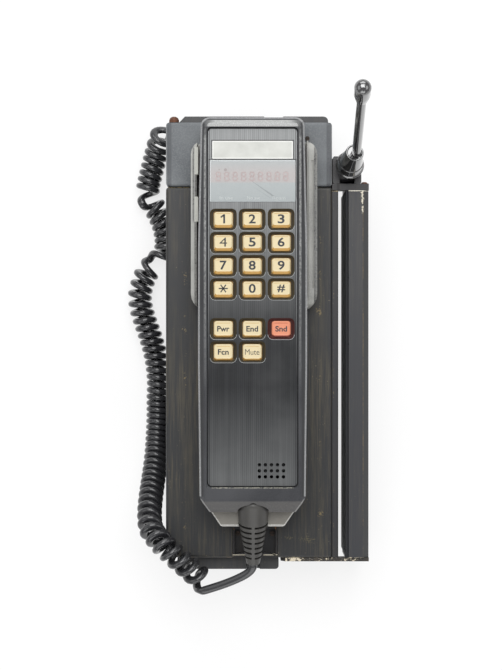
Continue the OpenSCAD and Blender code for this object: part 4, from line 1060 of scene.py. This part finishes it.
def boot_recess(front):
    """Cuts the arch in the lip that the strain relief's round end shows through."""
    cutter = added(bpy.ops.mesh.primitive_cylinder_add, vertices=64, radius=1, depth=1, location=(0, 0, 0))
    cutter.scale = [v * MM for v in BOOT_ARCH]
    moved(cutter, BOOT_MOUTH)
    apply_modifier(front, "BOOLEAN", operation="DIFFERENCE", solver="EXACT", object=cutter)
    bpy.data.objects.remove(cutter)
    return front


def boot_dome(boot):
    """Gives the strain relief a domed end under the arch."""
    dome = added(
        bpy.ops.mesh.primitive_uv_sphere_add, segments=56, ring_count=28, radius=1, location=(0, 0, 0),
    )
    dome.scale = [v * MM for v in DOME_RADII]
    settle(dome)
    moved(dome, DOME_MIDDLE, (DOME_LEAN, 0, 0))
    smooth(dome, 60)
    return joined([boot, dome])


def cradle_lining(cradle):
    """A strip along the right wing that stands close to the handset."""
    return joined([cradle, box_of(*LINING)])


EXTRAS = {"handset_front": boot_recess, "strain_relief": boot_dome, "cradle": cradle_lining}

for body, rows in DRESSED.items():
    for node_name, edge, material, slot_name in rows:
        piece = eased_copy(node_name, edge)
        if node_name in EXTRAS:
            piece = EXTRAS[node_name](piece)
        finish_piece(piece, node_name + "_dressed", body, material, [node_name])

pads = [
    eased_box((PAD_ACROSS[0], start, PAD_UP[0]), (PAD_ACROSS[1], end, PAD_UP[1])) for start, end in PAD_RANGES
]
pads.append(eased_box(*FOOT_PAD))
finish_piece(joined(pads), "cradle_pads_dressed", "transceiver", pad_nylon, ["cradle_pads"])

CARRIED = {
    "rear_plate": rear_paint, "main_board": green_board, "shield_cans": tin, "power_socket": nylon,
    "brass_screws": dull_brass, "copper_studs": copper, "contact_pins": brass,
    "aerial_pin": steel, "cord_gland": black_rubber, "battery_cells": cell_wrap,
    "label_plate": label_plate_finish, "display_window": window_acrylic, "display_board": display_plastic,
    "key_mat": mat_silicone, "keypad_board": green_board, "earpiece": driver_plastic,
    "mouthpiece": driver_plastic, "ringer": driver_plastic, "handset_screws": steel,
    "cord_coil": cord_pvc, "cord_lead": cord_pvc,
}


KEY_LEGENDS = {
    "1": "1", "2": "2", "3": "3", "4": "4", "5": "5", "6": "6", "7": "7", "8": "8", "9": "9", "star": "*",
    "0": "0", "hash": "#", "power": "Pwr", "end": "End", "send": "Snd", "function": "Fcn", "mute": "Mute",
}
WORD_WIDTHS = {"power": 6.3, "end": 6.1, "send": 6.1, "function": 5.6, "mute": 7.4}
# height, width and weight of a digit, and of the two that need their own
DIGIT_SIZE = (4.7, 3.55, 0.02)
OWN_SIZES = {"hash": (4.0, 4.1, 0.02), "4": (4.7, 3.9, -0.004)}
KEY_COLOURS = [cream_abs, amber_abs, slate_ink]
SEND_COLOURS = [salmon_abs, brick_abs, slate_ink]
WELL_COLOURS = [olive_liner, rim_highlight, wine_liner]
KEY_TOP = 93.0
INK_HEIGHT = KEY_TOP - 0.265
FLANGE = (88.6, 89.9)
# half a cap's width, and its reach from the key's middle towards the foot and the head
CAP_HALF = 4.8
DIGIT_CAP = (4.15, 3.95)
WORD_CAP = (3.85, 4.1)
# a well's width, its height round a digit and round a word, and its foot and top
WELL_WIDE = 13.8
DIGIT_WELL = 11.4
WORD_WELL = 11.2
WELL_UP = (91.02, 92.08)
PRINT_HEIGHT = 92.01


def star_legend(middle_mm):
    """An asterisk of three crossed bars."""
    bars = []
    for degrees in (0, 55, 125):
        bar = box_of((-2.35, -0.3, -0.015), (2.35, 0.3, 0.015))
        bars.append(moved(bar, middle_mm, (0, 0, degrees)))
    return joined(bars)


def one_legend(middle_mm):
    """A figure one: a stem and a falling flag."""
    stem = box_of((-0.02, -2.35, -0.015), (0.93, 2.35, 0.015))
    flag = box_of((-1.35, -0.38, -0.015), (0.6, 0.38, 0.015))
    moved(flag, (-0.25, 1.55, 0), (0, 0, 36))
    return moved(joined([stem, flag]), middle_mm)


def key_ink(key, legend, x, y):
    """A key's printed digit or word."""
    if key == "star":
        return star_legend((x, y + 0.4, INK_HEIGHT))
    if key == "1":
        return one_legend((x, y + 0.42, INK_HEIGHT))
    if key in WORD_WIDTHS:
        weight = -0.004 if key == "mute" else 0.024
        return lettering(legend, (x, y + 0.1, INK_HEIGHT), 2.9, WORD_WIDTHS[key], weight=weight)
    tall, wide, weight = OWN_SIZES.get(key, DIGIT_SIZE)
    return lettering(legend, (x, y + 0.42, INK_HEIGHT), tall, wide, weight=weight)


def sculpted_key(key, legend):
    """A key in two colours: a pale sculpted face on a deeper skirt, over its hidden flange."""
    node = cad["key_" + key]
    corners = [node.matrix_world @ Vector(c) for c in node.bound_box]
    x = sum(c.x for c in corners) / 8 / MM
    y = sum(c.y for c in corners) / 8 / MM
    digit = key not in WORD_WIDTHS
    to_foot, to_head = DIGIT_CAP if digit else WORD_CAP
    cap = rounded_block(
        (x - CAP_HALF, y - to_foot, FLANGE[1] - 0.01), (x + CAP_HALF, y + to_head, KEY_TOP - 0.62), 1.5,
    )
    inset_top(cap, (0.22, 0.2), (0.34, 0.2))
    if digit:
        # the foot of a digit key slopes down in the skirt's colour
        for vertex in cap.data.vertices:
            if vertex.co.z > (KEY_TOP - 0.3) * MM and vertex.co.y < (y - 2) * MM:
                vertex.co.y += 0.85 * MM
            elif vertex.co.z > (KEY_TOP - 0.7) * MM and vertex.co.y < (y - 2.6) * MM:
                vertex.co.z -= 0.45 * MM
    inset_top(cap, (0.5, 0.0))
    mode("EDIT")
    bpy.ops.mesh.remove_doubles(threshold=0.16 * MM)
    mode("OBJECT")
    inset_top(cap, (0.12 if digit else 0.42, 0.0), (0.2, -0.07))
    flange = rounded_block((x - 5.85, y - 5.1, FLANGE[0]), (x + 5.85, y + 5.1, FLANGE[1]), 1.2, 3)
    for block in (cap, flange):
        smooth(block, 25)
        give_materials(block, *KEY_COLOURS)
    for face in cap.data.polygons:
        face.material_index = 1 if face.normal.z < 0.5 or face.normal.y < -0.3 else 0
    for face in flange.data.polygons:
        face.material_index = 1
    ink = key_ink(key, legend, x, y)
    give_materials(ink, *KEY_COLOURS)
    for face in ink.data.polygons:
        face.material_index = 2
    finish_piece(
        joined([cap, flange, ink]), "cap_" + key, "key_" + key,
        SEND_COLOURS if key == "send" else KEY_COLOURS, ["key_" + key],
    )
    return x, y


def well_liner(x, y, tall, wine):
    """The stained rim of a key's well: a frame with three falling steps round the key, with a painted
    highlight on its top at the foot side.
    """
    low = (x - WELL_WIDE / 2, y - tall / 2, WELL_UP[0])
    high = (x + WELL_WIDE / 2, y + tall / 2, WELL_UP[1])
    liner = rounded_block(low, high, 2.7, 7)
    inset_top(liner, (0.2, 0.0), (0.3, -0.4), (0.45, -0.05), (0.2, -0.45))
    opening = rounded_block((x - 5.15, y - 4.45, 88), (x + 5.15, y + 4.45, 95), 1.2)
    apply_modifier(liner, "BOOLEAN", operation="DIFFERENCE", solver="EXACT", object=opening)
    bpy.data.objects.remove(opening)
    smooth(liner, 30)
    give_materials(liner, *WELL_COLOURS)
    for face in liner.data.polygons:
        # the top of the frame at the foot side takes the painted highlight
        rim = face.center.z > (WELL_UP[1] - 0.01) * MM and face.center.y < (y - tall / 2 + 2.8) * MM
        face.material_index = 1 if rim else 2 if wine else 0
    return liner


liners = []
for key, legend in KEY_LEGENDS.items():
    x, y = sculpted_key(key, legend)
    liners.append(well_liner(x, y, WORD_WELL if key in WORD_WIDTHS else DIGIT_WELL, key == "send"))
finish_piece(joined(liners), "key_wells", "handset", WELL_COLOURS)

# the unlit digits and the three small words under the window
digits = [
    lettering("8", (1.6 + (i - 4) * 4.35, 84.4, PRINT_HEIGHT), 5.0, 2.9, weight=-0.01, thick_mm=0.02)
    for i in range(9)
]
finish_piece(joined(digits), "unlit_digits", "handset", ghost_red)
words = [
    lettering(word, (x, 73.4, PRINT_HEIGHT), 1.6, 6.7, weight=0.01, thick_mm=0.02)
    for word, x in (("In use", -11.7), ("No svc", 2.4), ("Roam", 15.5))
]
finish_piece(joined(words), "window_words", "handset", pale_print)

for node_name, material in CARRIED.items():
    give_materials(cad[node_name], material)


# ---------------------------------------------------------------- table and light

TABLE_GLOW = 0.76
WORLD_STRENGTH = 0.44


def table_top():
    """A white table whose own glow, for the camera and in reflections, keeps it near white."""
    table = added(bpy.ops.mesh.primitive_plane_add, size=6, location=(0, 0, 0))
    table.name = "table"
    material = bpy.data.materials.new("white table")
    material.use_nodes = True
    tree = material.node_tree
    tree.nodes.clear()
    lit = add(tree, "ShaderNodeBsdfDiffuse", Color=colour("#f4f4f4"))
    glow = add(tree, "ShaderNodeEmission", Color=grey(1.0), Strength=1.0)
    seen = add(tree, "ShaderNodeLightPath")
    either = most(tree, *(seen.outputs["Is %s Ray" % kind] for kind in ("Camera", "Glossy", "Transmission")))
    both = add(tree, "ShaderNodeMixShader", _0=times(tree, either, TABLE_GLOW))
    tree.links.new(lit.outputs[0], both.inputs[1])
    tree.links.new(glow.outputs[0], both.inputs[2])
    out = add(tree, "ShaderNodeOutputMaterial")
    tree.links.new(both.outputs[0], out.inputs[0])
    table.data.materials.append(material)


def softbox(name, location, size, power, turn):
    data = bpy.data.lights.new(name, "AREA")
    data.shape = "RECTANGLE"
    data.size, data.size_y = size
    data.energy = power
    lamp = bpy.data.objects.new(name, data)
    lamp.location = location
    lamp.rotation_euler = [math.radians(v) for v in turn]
    bpy.context.scene.collection.objects.link(lamp)


table_top()
world = bpy.data.worlds.new("studio")
bpy.context.scene.world = world
world.use_nodes = True
background = world.node_tree.nodes["Background"]
background.inputs[0].default_value = grey(1.0)
background.inputs[1].default_value = WORLD_STRENGTH
# places and sizes in metres, power in watts, turns in degrees
softbox("head_softbox", (0, 0.62, 1.5), (1.1, 0.95), 15.5, (-22, 0, 0))
softbox("head_window", (0, 1.5, 0.75), (1.4, 0.7), 9, (-66, 0, 0))
softbox("foot_card", (0, -1.2, 0.8), (1.4, 0.8), 6, (58, 0, 0))
softbox("left_softbox", (-1.2, 0.1, 1.1), (0.8, 1.2), 3, (0, -46, 0))
softbox("right_softbox", (1.2, 0.1, 1.1), (0.7, 1.2), 3.6, (0, 46, 0))
bpy.context.scene.view_settings.view_transform = "Standard"
